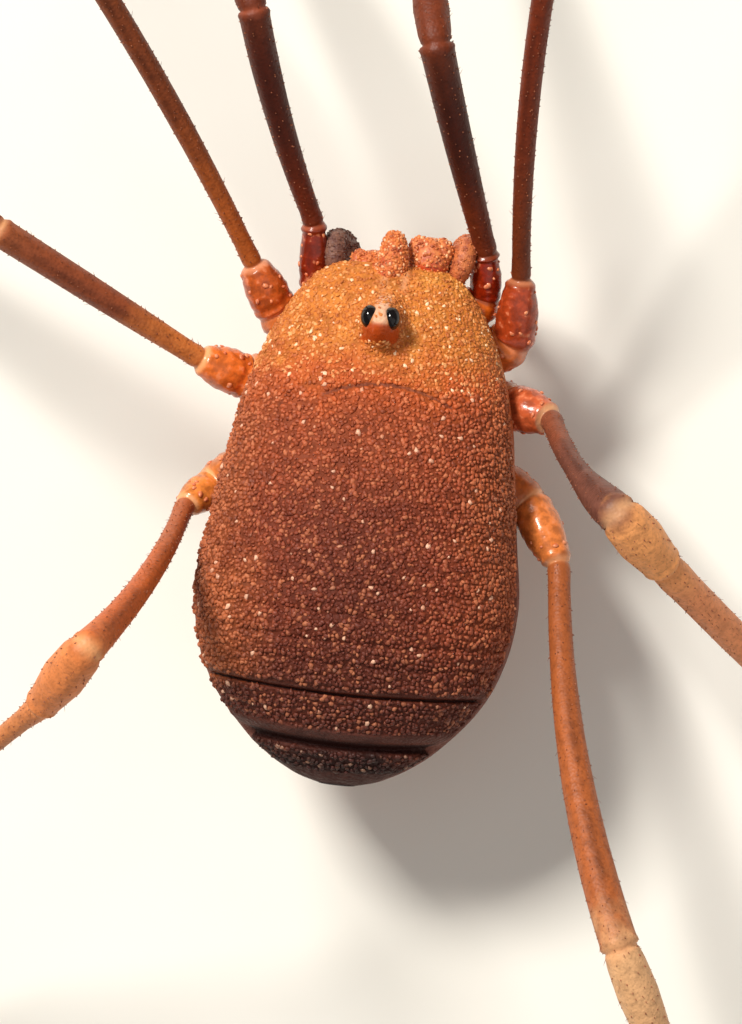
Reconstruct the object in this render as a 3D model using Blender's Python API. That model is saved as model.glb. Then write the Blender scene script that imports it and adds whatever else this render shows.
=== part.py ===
"""A harvestman standing on a flat surface, at its real size.

The head points along -Y, the animal's left side is +X and the floor is at z = 0.
Sizes are in millimetres and become metres when a mesh is made. The body is one
lofted shape, parted by a slanted cut behind the eyes. Each leg is a chain of six
segments whose ends are mitred, so that they meet face to face.
"""

import math
from dataclasses import dataclass

import bmesh
import bpy
import numpy as np
from mathutils import Matrix

MILLIMETRE = 0.001

BODY_LENGTH = 7.7
SEGMENT_GAP = 0.10
CLOSE_GAP = 0.04
FLOOR = 0.0

FRONT_Y = -3.86
REAR_Y = FRONT_Y + BODY_LENGTH

# Along the body: place, half width, top, widest level and belly.
BODY_STATIONS = (
    (FRONT_Y, 0.80, 3.38, 3.14, 2.92),
    (-3.76, 0.99, 3.56, 3.12, 2.74),
    (-3.50, 1.26, 3.80, 3.10, 2.48),
    (-3.00, 1.57, 4.12, 3.08, 2.20),
    (-2.40, 1.82, 4.34, 3.10, 2.02),
    (-1.80, 1.99, 4.50, 3.14, 1.90),
    (-1.00, 2.12, 4.74, 3.20, 1.80),
    (0.00, 2.26, 4.93, 3.26, 1.75),
    (1.00, 2.39, 5.00, 3.30, 1.74),
    (1.80, 2.28, 4.90, 3.30, 1.84),
    (2.40, 2.04, 4.66, 3.28, 2.02),
    (3.00, 1.58, 4.24, 3.24, 2.30),
    (3.40, 1.14, 3.84, 3.20, 2.58),
    (3.62, 0.80, 3.62, 3.18, 2.78),
    (REAR_Y - 0.06, 0.46, 3.42, 3.16, 2.94),
)
SECTION_POWER = 2.25
TOP_STEPS = 34
BELLY_STEPS = 14

# The plane that parts the two halves of the body leans back towards the belly.
CUT_TOP = (0.0, -1.95, 4.45)
CUT_BELLY_Y = 0.50
CUT_BELLY_Z = 1.75

# The hard back plate ends at a shallow groove along each flank.
FLANK_GROOVE = 0.07
FLANK_SPAN = (-1.20, 2.45)

GRAIN_HEIGHT = 0.055
GRAIN_PITCH = 0.165
GRAIN_SEED = 11

# Grooves between the back plates: place, depth and half width.
PLATE_GROOVES = ((-1.95, 0.05, 0.09), (2.50, 0.09, 0.05), (3.18, 0.17, 0.07), (3.50, 0.08, 0.045))
GROOVE_RINGS = (2.36, 2.44, 2.50, 2.57, 2.70, 2.84, 2.98, 3.09, 3.18, 3.27, 3.38, 3.45, 3.50, 3.56, 3.66)

EYE_RADII = (0.13, 0.17, 0.165)
EYE_APART = 0.16
EYE_PLACE = (-3.0, 4.62)
MOUND_PLACE = (0.0, -2.98, 4.26)
MOUND_RADII = (0.30, 0.38, 0.52)

LIMB_SIDES = 10
FINE_SIDES = 8
THINNEST_RADIUS = 0.25
FOOT_RISE = 0.60
FLAT_SHARE = 0.72


@dataclass(frozen=True)
class Pair:
    """Sizes that the left and right leg of one pair share."""

    coxa_root: tuple
    coxa_radii: tuple
    lengths: tuple
    femur_radii: tuple
    patella_radius: float


@dataclass(frozen=True)
class Pose:
    """Where one leg bends and how its segments point.

    The coxa ends at the hip, and the femur starts at the neck. A bearing is measured
    from straight ahead, outwards. A rise is the slope of a segment above the floor,
    and the last two segments follow from the ground. The bow is how far the middle
    of the femur lies off the straight line, and the swell is the share of the pair's
    thickening towards the knee that this leg has.
    """

    hip: tuple
    neck: tuple
    hip_radius: float
    bearings: tuple
    rises: tuple
    bow: float
    swell: float = 1.0


PAIRS = {
    1: Pair((0.75, -2.90, 2.40), (0.30, 0.31, 0.25), (3.9, 1.3, 3.0, 3.7, 5.0), (0.25, 0.27), 0.29),
    2: Pair((0.95, -2.50, 2.30), (0.32, 0.35, 0.29), (6.6, 1.8, 5.6, 5.8, 10.0), (0.25, 0.25), 0.26),
    3: Pair((0.85, -2.00, 2.24), (0.34, 0.38, 0.33), (3.9, 1.3, 3.1, 4.6, 5.6), (0.25, 0.32), 0.35),
    4: Pair((0.55, -1.30, 2.22), (0.36, 0.42, 0.32), (6.2, 1.5, 4.4, 7.2, 7.6), (0.25, 0.28), 0.32),
}

POSES = {
    ("left", 1): Pose((1.16, -3.49, 2.62), (1.25, -4.41, 3.00), 0.24,
                      (19.8, 22, 24, 28, 34), (41.3, -14, -45), -0.073),
    ("left", 2): Pose((1.70, -3.12, 2.66), (2.08, -3.71, 3.05), 0.32,
                      (34.5, 34, 40, 46, 54), (38, -5, -38), 0.10),
    ("left", 3): Pose((2.05, -2.04, 2.66), (2.72, -2.23, 3.05), 0.34,
                      (64.1, 66, 72, 78, 86), (35, -10, -45), 0.0, 0.35),
    ("left", 4): Pose((2.38, -0.36, 2.66), (2.69, -0.03, 3.10), 0.28,
                      (166.4, 141.8, 131, 136, 142), (67.7, -43, -42), -0.151, 0.6),
    ("right", 1): Pose((-1.38, -3.60, 2.64), (-1.33, -4.24, 3.00), 0.24,
                       (-18.3, -15, -4, 4, 12), (43.6, -27, -45), 0.02),
    ("right", 2): Pose((-1.87, -2.98, 2.66), (-1.89, -3.90, 3.05), 0.32,
                       (2.2, 5, 18, 32, 48), (36, -5, -38), 0.167),
    ("right", 3): Pose((-1.96, -2.03, 2.66), (-2.56, -1.88, 3.10), 0.34,
                       (139.3, 131.8, 128.7, 132, 138), (61.2, -43.4, -45), -0.126),
    ("right", 4): Pose((-2.36, -0.60, 2.66), (-2.90, 0.23, 3.00), 0.32,
                       (164, 153.4, 152, 154, 160), (24.2, -25, -22), -0.24),
}

SEGMENTS = ("trochanter", "femur", "patella", "tibia", "metatarsus", "tarsus")
SIDES = {"left": 1, "right": -1}

COLOURS = {
    "carapace": ((0.60, 0.22, 0.05), 0.45),
    "scutum": ((0.20, 0.06, 0.025), 0.60),
    "eye": ((0.004, 0.003, 0.003), 0.05),
    "joint": ((0.62, 0.16, 0.03), 0.25),
    "leg": ((0.30, 0.08, 0.025), 0.40),
    "foot": ((0.22, 0.07, 0.03), 0.50),
    "mouth": ((0.66, 0.30, 0.12), 0.35),
}


def smooth_rows(rows, places):
    """Read a table of rows at any place, by a smooth curve through its points."""
    table = np.array(rows, dtype=float)
    stations = table[:, 0]
    slopes = np.gradient(table[:, 1:], stations, axis=0)
    places = np.clip(np.asarray(places, dtype=float), stations[0], stations[-1])
    index = np.clip(np.searchsorted(stations, places, side="right") - 1, 0, len(stations) - 2)
    width = (stations[index + 1] - stations[index])[:, None]
    t = (places - stations[index])[:, None] / width
    low, high = table[index, 1:], table[index + 1, 1:]
    return (
        low * (2 * t**3 - 3 * t**2 + 1)
        + slopes[index] * width * (t**3 - 2 * t**2 + t)
        + high * (3 * t**2 - 2 * t**3)
        + slopes[index + 1] * width * (t**3 - t**2)
    )


def rooted(values, power):
    """A signed power, which squares up the body's round cross section."""
    return np.sign(values) * np.abs(values) ** (2.0 / power)


def body_grid(places, grow=0.0, grained=True):
    """Rings of points round the body, one ring for each place along it."""
    places = np.asarray(places, dtype=float)
    half_width, top, edge, belly = smooth_rows(BODY_STATIONS, places).T
    upper = np.linspace(0.0, math.pi, TOP_STEPS, endpoint=False)
    lower = np.linspace(math.pi, 2.0 * math.pi, BELLY_STEPS, endpoint=False)
    angle = np.concatenate([upper, lower])
    across, up = np.cos(angle), np.sin(angle)
    depth = np.zeros_like(places)
    for centre, groove_depth, spread in PLATE_GROOVES:
        depth += groove_depth * np.exp(-(((places - centre) / spread) ** 2))
    upper_share = np.clip(up / 0.6, 0.0, 1.0)
    sink = depth[:, None] * upper_share[None, :]
    beside = (places > FLANK_SPAN[0]) & (places < FLANK_SPAN[1])
    sink = sink + FLANK_GROOVE * beside[:, None] * ((up > 0.22) & (up < 0.31))[None, :]
    if grained:
        draw = np.random.RandomState(GRAIN_SEED).uniform(0.5, 1.3, (len(places), len(angle)))
        checker = np.indices(draw.shape).sum(axis=0) % 2
        on_back = (up > 0.31)[None, :] & (depth < 0.02)[:, None]
        sink = sink - GRAIN_HEIGHT * draw * checker * on_back
    height = np.where(up > 0, (top - edge)[:, None], (edge - belly)[:, None]) + grow - sink
    width = half_width[:, None] + grow - 0.5 * sink
    x = width * rooted(across, SECTION_POWER)[None, :]
    z = edge[:, None] + height * rooted(up, SECTION_POWER)[None, :]
    y = np.repeat(places[:, None], len(angle), axis=1)
    return np.stack([x, y, z], axis=-1)


def new_object(name, mesh_builder, colour):
    """Make one object from a bmesh, still in millimetres."""
    mesh = bpy.data.meshes.new(name)
    mesh_builder.normal_update()
    mesh_builder.to_mesh(mesh)
    mesh_builder.free()
    piece = bpy.data.objects.new(name, mesh)
    bpy.context.collection.objects.link(piece)
    if colour:
        mesh.materials.append(material(colour))
    return piece


def material(slot):
    """The plain coloured surface of one kind of part."""
    found = bpy.data.materials.get(slot)
    if found:
        return found
    colour, roughness = COLOURS[slot]
    made = bpy.data.materials.new(slot)
    made.use_nodes = True
    surface = made.node_tree.nodes["Principled BSDF"]
    surface.inputs["Base Color"].default_value = (*colour, 1.0)
    surface.inputs["Roughness"].default_value = roughness
    surface.inputs["Metallic"].default_value = 0.0
    return made


def skin_rings(rings, first_tip=None, last_tip=None):
    """Join rings of points into one closed bmesh, ended by tips or flat caps."""
    builder = bmesh.new()
    rows = [[builder.verts.new(point) for point in ring] for ring in rings]
    count = len(rows[0])
    for row, after in zip(rows, rows[1:]):
        for i in range(count):
            j = (i + 1) % count
            builder.faces.new((row[i], row[j], after[j], after[i]))
    for row, tip, backwards in ((rows[0], first_tip, True), (rows[-1], last_tip, False)):
        if tip is None:
            builder.faces.new(row[::-1] if backwards else row)
            continue
        point = builder.verts.new(tip)
        for i in range(count):
            j = (i + 1) % count
            builder.faces.new((point, row[j], row[i]) if backwards else (point, row[i], row[j]))
    bmesh.ops.recalc_face_normals(builder, faces=builder.faces)
    return builder


def body_places():
    """The rings along the body: even over the grained plates, close at the grooves."""
    even = np.arange(FRONT_Y + 0.10, GROOVE_RINGS[0] - 0.5 * GRAIN_PITCH, GRAIN_PITCH)
    return np.concatenate([[FRONT_Y], even, GROOVE_RINGS, [REAR_Y - 0.06]])


def whole_body(grow=0.0, grained=True):
    """The closed shape of head and abdomen together."""
    rings = body_grid(body_places(), grow, grained)
    front = (0.0, FRONT_Y - 0.04 - grow, 3.14)
    rear = (0.0, REAR_Y + grow, 3.16)
    return skin_rings(rings, front, rear)


def cut_normal():
    """The slanted cut's direction, pointing to the rear."""
    rise, run = CUT_TOP[2] - CUT_BELLY_Z, CUT_BELLY_Y - CUT_TOP[1]
    length = math.hypot(rise, run)
    return np.array([0.0, rise / length, run / length])


def half_body(builder, offset, keep_rear):
    """Keep the part of a closed shape on one side of the slanted cut and close it."""
    normal = cut_normal()
    place = np.array(CUT_TOP) + normal * offset
    geometry = list(builder.verts) + list(builder.edges) + list(builder.faces)
    result = bmesh.ops.bisect_plane(
        builder, geom=geometry, dist=1e-5, plane_co=place, plane_no=normal,
        clear_inner=keep_rear, clear_outer=not keep_rear,
    )
    rim = [item for item in result["geom_cut"] if isinstance(item, bmesh.types.BMEdge)]
    bmesh.ops.holes_fill(builder, edges=rim)
    bmesh.ops.triangulate(builder, faces=[face for face in builder.faces if len(face.verts) > 4])
    bmesh.ops.recalc_face_normals(builder, faces=builder.faces)
    return builder


def ellipsoid(centre, radii, across=14, rows=8, tilt=0.0):
    """A closed egg shape, its poles on its own long axis Z, tilted about X."""
    polar = np.linspace(0.0, math.pi, rows + 1)[1:-1]
    turn = np.linspace(0.0, 2.0 * math.pi, across, endpoint=False)
    x = radii[0] * np.sin(polar)[:, None] * np.cos(turn)[None, :]
    y = radii[1] * np.sin(polar)[:, None] * np.sin(turn)[None, :]
    z = radii[2] * np.repeat(np.cos(polar)[:, None], across, axis=1)
    points = np.stack([x, y, z], axis=-1)
    lean = np.array([[1, 0, 0], [0, math.cos(tilt), -math.sin(tilt)], [0, math.sin(tilt), math.cos(tilt)]])
    pole = lean @ np.array([0.0, 0.0, radii[2]])
    centre = np.array(centre, dtype=float)
    return skin_rings(points @ lean.T + centre, centre + pole, centre - pole)


def unit(vector):
    """A vector of length one."""
    vector = np.asarray(vector, dtype=float)
    return vector / np.linalg.norm(vector)


def tangents(path):
    """The direction of a path at each of its points."""
    steps = np.gradient(path, axis=0)
    return steps / np.linalg.norm(steps, axis=1)[:, None]


def limb_rings(path, radii, sides, start_cut=None, end_cut=None):
    """Rings carried along a path, with mitred ends, kept above the floor.

    Each ring is a round outline across the path. The end rings slide along the
    path's direction onto their cutting plane, given as a point and a normal.
    """
    path = np.asarray(path, dtype=float)
    along = tangents(path)
    turn = (np.arange(sides) + 0.5) * 2.0 * math.pi / sides
    level = np.cross(along, (0.0, 0.0, 1.0))
    level /= np.linalg.norm(level, axis=1)[:, None]
    upright = np.cross(level, along)
    ring = (
        np.cos(turn)[None, :, None] * level[:, None, :]
        - np.sin(turn)[None, :, None] * upright[:, None, :]
    )
    rings = path[:, None, :] + ring * np.asarray(radii, dtype=float)[:, None, None]
    for index, cut in ((0, start_cut), (-1, end_cut)):
        if cut is not None:
            point, normal = cut
            reach = (point - rings[index]) @ normal / (along[index] @ normal)
            rings[index] = rings[index] + reach[:, None] * along[index]
    rings[..., 2] = np.maximum(rings[..., 2], FLOOR)
    return rings


def limb(path, radii, sides=LIMB_SIDES, start_cut=None, end_cut=None):
    """One closed limb segment."""
    return skin_rings(limb_rings(path, radii, sides, start_cut, end_cut))


def heading(bearing, rise, side):
    """The direction with a bearing from straight ahead, outwards, and a rise."""
    b, r = math.radians(bearing), math.radians(rise)
    return np.array([side * math.sin(b) * math.cos(r), -math.cos(b) * math.cos(r), math.sin(r)])


def profile(shape, low, high):
    """Radii along a segment: a share of the way from low to high at each point."""
    return low + (high - low) * np.asarray(shape, dtype=float)


class LegPlan:
    """The joints, paths and radii of one leg."""

    def __init__(self, side_name, pair_number):
        self.pair = PAIRS[pair_number]
        self.pose = POSES[(side_name, pair_number)]
        self.side = SIDES[side_name]
        self.coxa_end = np.array(self.pose.hip, dtype=float)
        self.coxa_root = np.array(self.pair.coxa_root) * (self.side, 1, 1)
        self.paths = self.make_paths()
        self.radii = self.make_radii()

    def make_paths(self):
        """The middle line of each segment, from the coxa's end to the toe."""
        lengths, bearings, rises = self.pair.lengths, self.pose.bearings, self.pose.rises
        neck = np.array(self.pose.neck, dtype=float)
        middle = 0.5 * (self.coxa_end + neck) + (0.0, 0.0, 0.05)
        paths = [curve(self.coxa_end, middle, neck, 6)]
        start = neck
        for number in range(3):
            end = start + lengths[number] * heading(bearings[number], rises[number], self.side)
            bow = self.pose.bow if number == 0 else 0.0
            inwards = heading(bearings[number] - 90.0, 0.0, self.side)
            paths.append(curve(start, 0.5 * (start + end) + inwards * 2.0 * bow, end, 8 - 2 * min(number, 1)))
            start = end
        drop = math.degrees(math.asin((FOOT_RISE - start[2]) / lengths[3]))
        end = start + lengths[3] * heading(bearings[3], drop, self.side)
        paths.append(curve(start, 0.5 * (start + end) + (0.0, 0.0, 0.12), end, 6))
        paths.append(self.foot_path(end, bearings[4], lengths[4]))
        return paths

    def foot_path(self, start, bearing, length):
        """The last segment comes down in a short curve and lies along the floor."""
        share = np.linspace(0.0, 1.0, 15) ** 1.15
        turned = np.radians(bearing + 8.0 * share)
        step = np.diff(share * length)
        x = start[0] + self.side * np.concatenate([[0], np.cumsum(step * np.sin(turned[1:]))])
        y = start[1] - np.concatenate([[0], np.cumsum(step * np.cos(turned[1:]))])
        lying = FLAT_SHARE * self.foot_radii(share)
        z = lying + (start[2] - lying[0]) * np.exp(-share * length / 0.45)
        return np.stack([x, y, z], axis=-1)

    @staticmethod
    def foot_radii(share):
        """The last segment tapers to a fine tip."""
        return THINNEST_RADIUS * (1.0 - 0.62 * np.asarray(share) ** 1.5)

    def make_radii(self):
        """The radius at each point of each path."""
        hip, thin = self.pose.hip_radius, THINNEST_RADIUS
        low, high = self.pair.femur_radii
        high = low + self.pose.swell * (high - low)
        knee = thin + self.pose.swell * (self.pair.patella_radius - thin)
        return [
            profile((0.55, 0.95, 1.0, 0.85, 0.35, 0.1), 0.20, hip),
            profile((0.0, 0.05, 0.2, 0.4, 0.62, 0.82, 1.0, 0.9), low, high),
            profile((0.2, 0.75, 1.0, 0.95, 0.7, 0.1), thin, knee),
            profile((0.3, 0.5, 0.5, 0.4, 0.2, 0.0), thin, 0.5 * (thin + knee)),
            np.full(6, thin),
            self.foot_radii(np.linspace(0.0, 1.0, 15) ** 1.15),
        ]

    def cuts(self):
        """The mitre plane at each joint, from the coxa's end to the ankle."""
        before = [unit(self.coxa_end - self.coxa_root)] + [tangents(path)[-1] for path in self.paths[:-1]]
        after = [tangents(path)[0] for path in self.paths]
        places = [path[0] for path in self.paths]
        return [(place, unit(a + b)) for place, a, b in zip(places, before, after)]


def curve(start, control, end, count):
    """Points on a curve that leaves start towards control and arrives at end."""
    t = np.linspace(0.0, 1.0, count)[:, None]
    return (1 - t) ** 2 * np.asarray(start) + 2 * t * (1 - t) * np.asarray(control) + t**2 * np.asarray(end)


def shifted(cut, offset):
    """A cutting plane moved along its normal."""
    point, normal = cut
    return point + normal * offset, normal


def coxa(plan):
    """The first, fixed segment of a leg, which is fused to the body."""
    share = np.array([0.0, 0.3, 0.6, 0.85, 1.0])[:, None]
    path = plan.coxa_root + (plan.coxa_end - plan.coxa_root) * share
    root, middle, end = plan.pair.coxa_radii
    radii = (root, 0.5 * (root + middle), middle, 0.5 * (middle + end), end)
    return limb(path, radii, LIMB_SIDES, None, shifted(plan.cuts()[0], -0.5 * SEGMENT_GAP))


def leg(side_name, pair_number, plan):
    """The six free segments of one leg, each an object of its own."""
    cuts = plan.cuts()
    pieces = []
    for number, segment in enumerate(SEGMENTS):
        start = shifted(cuts[number], 0.5 * SEGMENT_GAP)
        end = shifted(cuts[number + 1], -0.5 * SEGMENT_GAP) if number + 1 < len(cuts) else None
        sides = LIMB_SIDES if number < 3 else FINE_SIDES
        builder = limb(plan.paths[number], plan.radii[number], sides, start, end)
        colour = "joint" if number == 0 else "foot" if number == 5 else "leg"
        pieces.append(new_object(f"{segment}_{side_name}_{pair_number}", builder, colour))
    return pieces


def chelicera_parts(side, grow=0.0):
    """One jaw: a base that juts forwards, a hand that hangs down and two fingers."""
    reach = JAW_REACH[side]
    x, y, z = reach
    base = limb(
        [(x * 0.9, y + 0.52, z - 0.28), (x * 0.95, y + 0.25, z - 0.05), (x, y, z), (x, y - 0.22, z - 0.15)],
        np.array([0.18, 0.235, 0.24, 0.17]) * JAW_GIRTH[side] + grow,
    )
    hand = ellipsoid((x * 0.92, y - 0.12, z - 0.62), np.array([0.19, 0.19, 0.46]) + grow, 12, 8, 0.12)
    fingers = [
        limb([(x * 0.92 + dx, y - 0.10, z - 0.90), (x * 0.92 + 1.3 * dx, y - 0.13, z - 1.17),
              (x * 0.92 + dx, y - 0.06, z - 1.36)], np.array([0.08, 0.07, 0.03]) + grow, 6)
        for dx in (-0.105, 0.105)
    ]
    return [base, hand] + fingers


JAW_REACH = {-1: (-0.53, -4.06, 3.10), 1: (0.40, -3.82, 2.72)}
JAW_GIRTH = {-1: 1.22, 1: 1.0}
PALP_SHIFT = {-1: (0.06, 0.0, 0.0), 1: (-0.16, 0.08, -0.26)}


def pedipalp_path(side):
    """A short feeler that starts beside the jaw and curls down under the head."""
    route = np.array([
        (0.84, -3.72, 2.98), (0.96, -4.02, 3.16), (0.98, -4.22, 3.10), (0.96, -4.34, 2.74),
        (0.90, -4.32, 2.20), (0.78, -4.16, 1.66), (0.60, -3.90, 1.26), (0.42, -3.56, 1.06),
    ])
    return (route + PALP_SHIFT[side]) * (side, 1, 1)


def pedipalp(side, grow=0.0):
    """The feeler as a closed limb."""
    radii = np.array([0.15, 0.17, 0.17, 0.17, 0.19, 0.17, 0.14, 0.07]) + grow
    return limb(pedipalp_path(side), radii, FINE_SIDES)


def eye_centre(side):
    """The middle of one eye."""
    return (side * EYE_APART, *EYE_PLACE)


def joined(name, base, others, operation, solver="EXACT"):
    """Apply one Boolean between an object and several closed ones, then drop those."""
    group = bpy.data.collections.new(name + "_pieces")
    bpy.context.scene.collection.children.link(group)
    for other in others:
        bpy.context.collection.objects.unlink(other)
        group.objects.link(other)
    change = base.modifiers.new("join", "BOOLEAN")
    change.operation = operation
    change.solver = solver
    change.operand_type = "COLLECTION"
    change.collection = group
    graph = bpy.context.evaluated_depsgraph_get()
    result = bpy.data.meshes.new_from_object(base.evaluated_get(graph))
    base.modifiers.clear()
    base.data = result
    for other in others:
        bpy.data.objects.remove(other)
    bpy.data.collections.remove(group)
    keep_largest(base)
    return base


def keep_largest(piece):
    """Keep the largest closed surface of a mesh and drop the scraps."""
    builder = bmesh.new()
    builder.from_mesh(piece.data)
    unseen = set(builder.verts)
    shells = []
    while unseen:
        stack = [unseen.pop()]
        shell = set(stack)
        while stack:
            for edge in stack.pop().link_edges:
                for vertex in edge.verts:
                    if vertex in unseen:
                        unseen.discard(vertex)
                        shell.add(vertex)
                        stack.append(vertex)
        shells.append(shell)
    largest = max(shells, key=len)
    scraps = [vertex for shell in shells if shell is not largest for vertex in shell]
    bmesh.ops.delete(builder, geom=scraps, context="VERTS")
    builder.to_mesh(piece.data)
    builder.free()


def cephalothorax(plans):
    """Head and leg bases in one piece, with the eye mound and the front knob."""
    head = new_object("cephalothorax", half_body(whole_body(), -0.5 * SEGMENT_GAP, False), "carapace")
    knob = limb([(0, -3.50, 3.40), (0, -3.85, 3.46), (0, -4.10, 3.46), (0, -4.28, 3.40)], (0.26, 0.24, 0.20, 0.09), 8)
    plate = ellipsoid((0.0, -1.35, 2.02), (0.55, 1.05, 0.36), 14, 8)
    grown = [new_object("grown", builder, None) for builder in (
        [coxa(plan) for plan in plans] + [ellipsoid(MOUND_PLACE, MOUND_RADII), knob, plate])]
    joined("head", head, grown, "UNION")
    hollows = [ellipsoid(eye_centre(side), np.array(EYE_RADII) + CLOSE_GAP) for side in SIDES.values()]
    for side in SIDES.values():
        hollows += chelicera_parts(side, CLOSE_GAP)
        hollows.append(pedipalp(side, CLOSE_GAP))
    hollows.append(half_body(whole_body(SEGMENT_GAP, False), -0.4 * SEGMENT_GAP, True))
    cutters = [new_object("cutter", builder, None) for builder in hollows]
    return joined("hollow", head, cutters, "DIFFERENCE")


def chelicera(side_name, side):
    """One jaw, fused into a closed body."""
    parts = chelicera_parts(side)
    base = new_object(f"chelicera_{side_name}", parts[0], "mouth")
    others = [new_object("piece", part, None) for part in parts[1:]]
    return joined("jaw", base, others, "UNION", "MANIFOLD")


def clear_scene():
    """Start from an empty scene."""
    for old in list(bpy.data.objects):
        bpy.data.objects.remove(old)


def finish_mesh(piece):
    """Turn a mesh into metres and shade its round faces smooth."""
    piece.data.transform(Matrix.Scale(MILLIMETRE, 4))
    piece.data.shade_smooth()
    piece.data.set_sharp_from_angle(angle=math.radians(40.0))


def centre_on_floor(pieces):
    """Hang every piece on one empty that stands the animal over the origin."""
    corners = np.concatenate([
        np.array([vertex.co[:] for vertex in piece.data.vertices]) for piece in pieces])
    middle = 0.5 * (corners.min(axis=0) + corners.max(axis=0))
    stand = bpy.data.objects.new("harvestman", None)
    bpy.context.collection.objects.link(stand)
    stand.location = (-middle[0], -middle[1], 0.0)
    for piece in pieces:
        piece.parent = stand


def main():
    """Build every part of the animal."""
    clear_scene()
    plans = {key: LegPlan(*key) for key in POSES}
    pieces = [cephalothorax(plans.values())]
    pieces.append(new_object("abdomen", half_body(whole_body(), 0.5 * SEGMENT_GAP, True), "scutum"))
    for side_name, side in SIDES.items():
        eye = ellipsoid(eye_centre(side), EYE_RADII)
        pieces.append(new_object(f"eye_{side_name}", eye, "eye"))
        pieces.append(chelicera(side_name, side))
        pieces.append(new_object(f"pedipalp_{side_name}", pedipalp(side), "mouth"))
    for key, plan in plans.items():
        pieces += leg(*key, plan)
    for piece in pieces:
        finish_mesh(piece)
    centre_on_floor(pieces)


main()
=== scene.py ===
"""A life-size harvestman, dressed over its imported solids.

The animal is worked out in its own millimetres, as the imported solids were: the head
points along -Y, its left side is +X and the floor is at z = 0. A datum turns those
into the frame's metres. Every surface is a formula on a grid of two parameters, and
the grains, spines and hairs are small closed shapes strewn over it.
"""

import logging
import math
from dataclasses import dataclass, field
from enum import Enum
from typing import Callable, Mapping, Sequence, Union

import bpy
import numpy as np
from mathutils import Matrix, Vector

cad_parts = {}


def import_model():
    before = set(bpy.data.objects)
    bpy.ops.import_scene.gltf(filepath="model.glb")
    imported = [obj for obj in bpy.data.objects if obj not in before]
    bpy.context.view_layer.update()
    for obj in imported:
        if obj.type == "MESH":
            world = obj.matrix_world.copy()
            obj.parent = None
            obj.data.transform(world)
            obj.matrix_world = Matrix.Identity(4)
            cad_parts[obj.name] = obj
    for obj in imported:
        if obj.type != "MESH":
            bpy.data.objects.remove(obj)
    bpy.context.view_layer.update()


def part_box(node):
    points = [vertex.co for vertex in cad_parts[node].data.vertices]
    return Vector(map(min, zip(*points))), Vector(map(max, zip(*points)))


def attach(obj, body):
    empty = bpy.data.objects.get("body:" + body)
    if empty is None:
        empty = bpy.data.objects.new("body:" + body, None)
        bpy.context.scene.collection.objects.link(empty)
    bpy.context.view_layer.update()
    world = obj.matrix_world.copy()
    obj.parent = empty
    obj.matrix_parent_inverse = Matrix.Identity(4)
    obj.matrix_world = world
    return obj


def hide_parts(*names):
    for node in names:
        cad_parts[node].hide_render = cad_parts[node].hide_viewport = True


log = logging.getLogger("harvestman")

MILLIMETRE = 0.001
BODY = "root"
TURN = 2.0 * math.pi
BAKE_PATCH = 0.003
SEED = 23
# Radius and height of each ring of the small shapes, from the base up to the tip.
DOME = [(1.0, -0.35), (0.82, 0.45), (0.0, 0.95)]
TOOTH = [(1.0, -0.5), (0.8, 0.2), (0.4, 0.7), (0.0, 1.0)]
HAIR = [(1.0, -0.1), (0.8, 0.5), (0.0, 1.0)]
UNEVEN = 0.22

Array = np.ndarray
Colour = tuple[float, float, float]
Triple = tuple[float, float, float]
Profile = tuple[tuple[float, float], ...]
Chance = np.random.RandomState


class Side(Enum):
    """The animal's own left and right, as the sign of X."""

    LEFT = 1
    RIGHT = -1

    def mirrored(self, points: Union[Array, Triple]) -> Array:
        """Points of the left side, brought to this side."""
        return np.array(points) * (self.value, 1, 1)


class Segment(Enum):
    """The parts of a leg, from the body to the toe."""

    COXA = 0
    TROCHANTER = 1
    FEMUR = 2
    PATELLA = 3
    TIBIA = 4
    METATARSUS = 5
    TARSUS = 6


def smooth_rows(rows: Sequence[Sequence[float]], places: Array) -> Array:
    """Read a table of rows at any place, by a smooth curve through its points.

    Between two rows the curve is the cubic whose ends have the rows' values and the
    table's own slopes.

    Args:
        rows: the place and then the values of each row, in rising order.
        places: where to read the table, in any shape.

    Returns:
        The values, with one more axis than ``places``.
    """
    table = np.array(rows, dtype=float)
    stations = table[:, 0]
    slopes = np.gradient(table[:, 1:], stations, axis=0)
    held = np.clip(np.asarray(places, dtype=float), stations[0], stations[-1])
    index = np.clip(np.searchsorted(stations, held, side="right") - 1, 0, len(stations) - 2)
    width = (stations[index + 1] - stations[index])[..., None]
    t = (held - stations[index])[..., None] / width
    return (
        table[index, 1:] * (2 * t**3 - 3 * t**2 + 1)
        + slopes[index] * width * (t**3 - 2 * t**2 + t)
        + table[index + 1, 1:] * (3 * t**2 - 2 * t**3)
        + slopes[index + 1] * width * (t**3 - t**2)
    )


def ramp(values: Array, low: float, high: float) -> Array:
    """A soft step, 3t^2 - 2t^3, that is 0 at ``low`` and 1 at ``high``."""
    t = np.clip((np.asarray(values, dtype=float) - low) / (high - low), 0.0, 1.0)
    return t * t * (3.0 - 2.0 * t)


def bell(values: Array, middle: Union[float, Array], width: float) -> Array:
    """A bell curve, exp(-((v - middle) / width)^2)."""
    return np.exp(-(((values - middle) / width) ** 2))


def signed_power(values: Array, power: float) -> Array:
    """The sign of each value times its size to a power."""
    return np.sign(values) * np.abs(values) ** power


def unit(vectors: Array) -> Array:
    """Vectors brought to length one along the last axis."""
    return vectors / np.maximum(np.linalg.norm(vectors, axis=-1, keepdims=True), 1e-12)


def run_of(line: Array) -> Array:
    """The arc length at each point of a line, from 0 at its start."""
    return np.concatenate([[0.0], np.cumsum(np.linalg.norm(np.diff(line, axis=0), axis=1))])


def read_line(s: Array, run: Array, line: Array) -> Array:
    """Points of a line at arc lengths, from the arc length at each of its points."""
    return np.stack([np.interp(s, run, line[:, axis]) for axis in range(3)], axis=-1)


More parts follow.
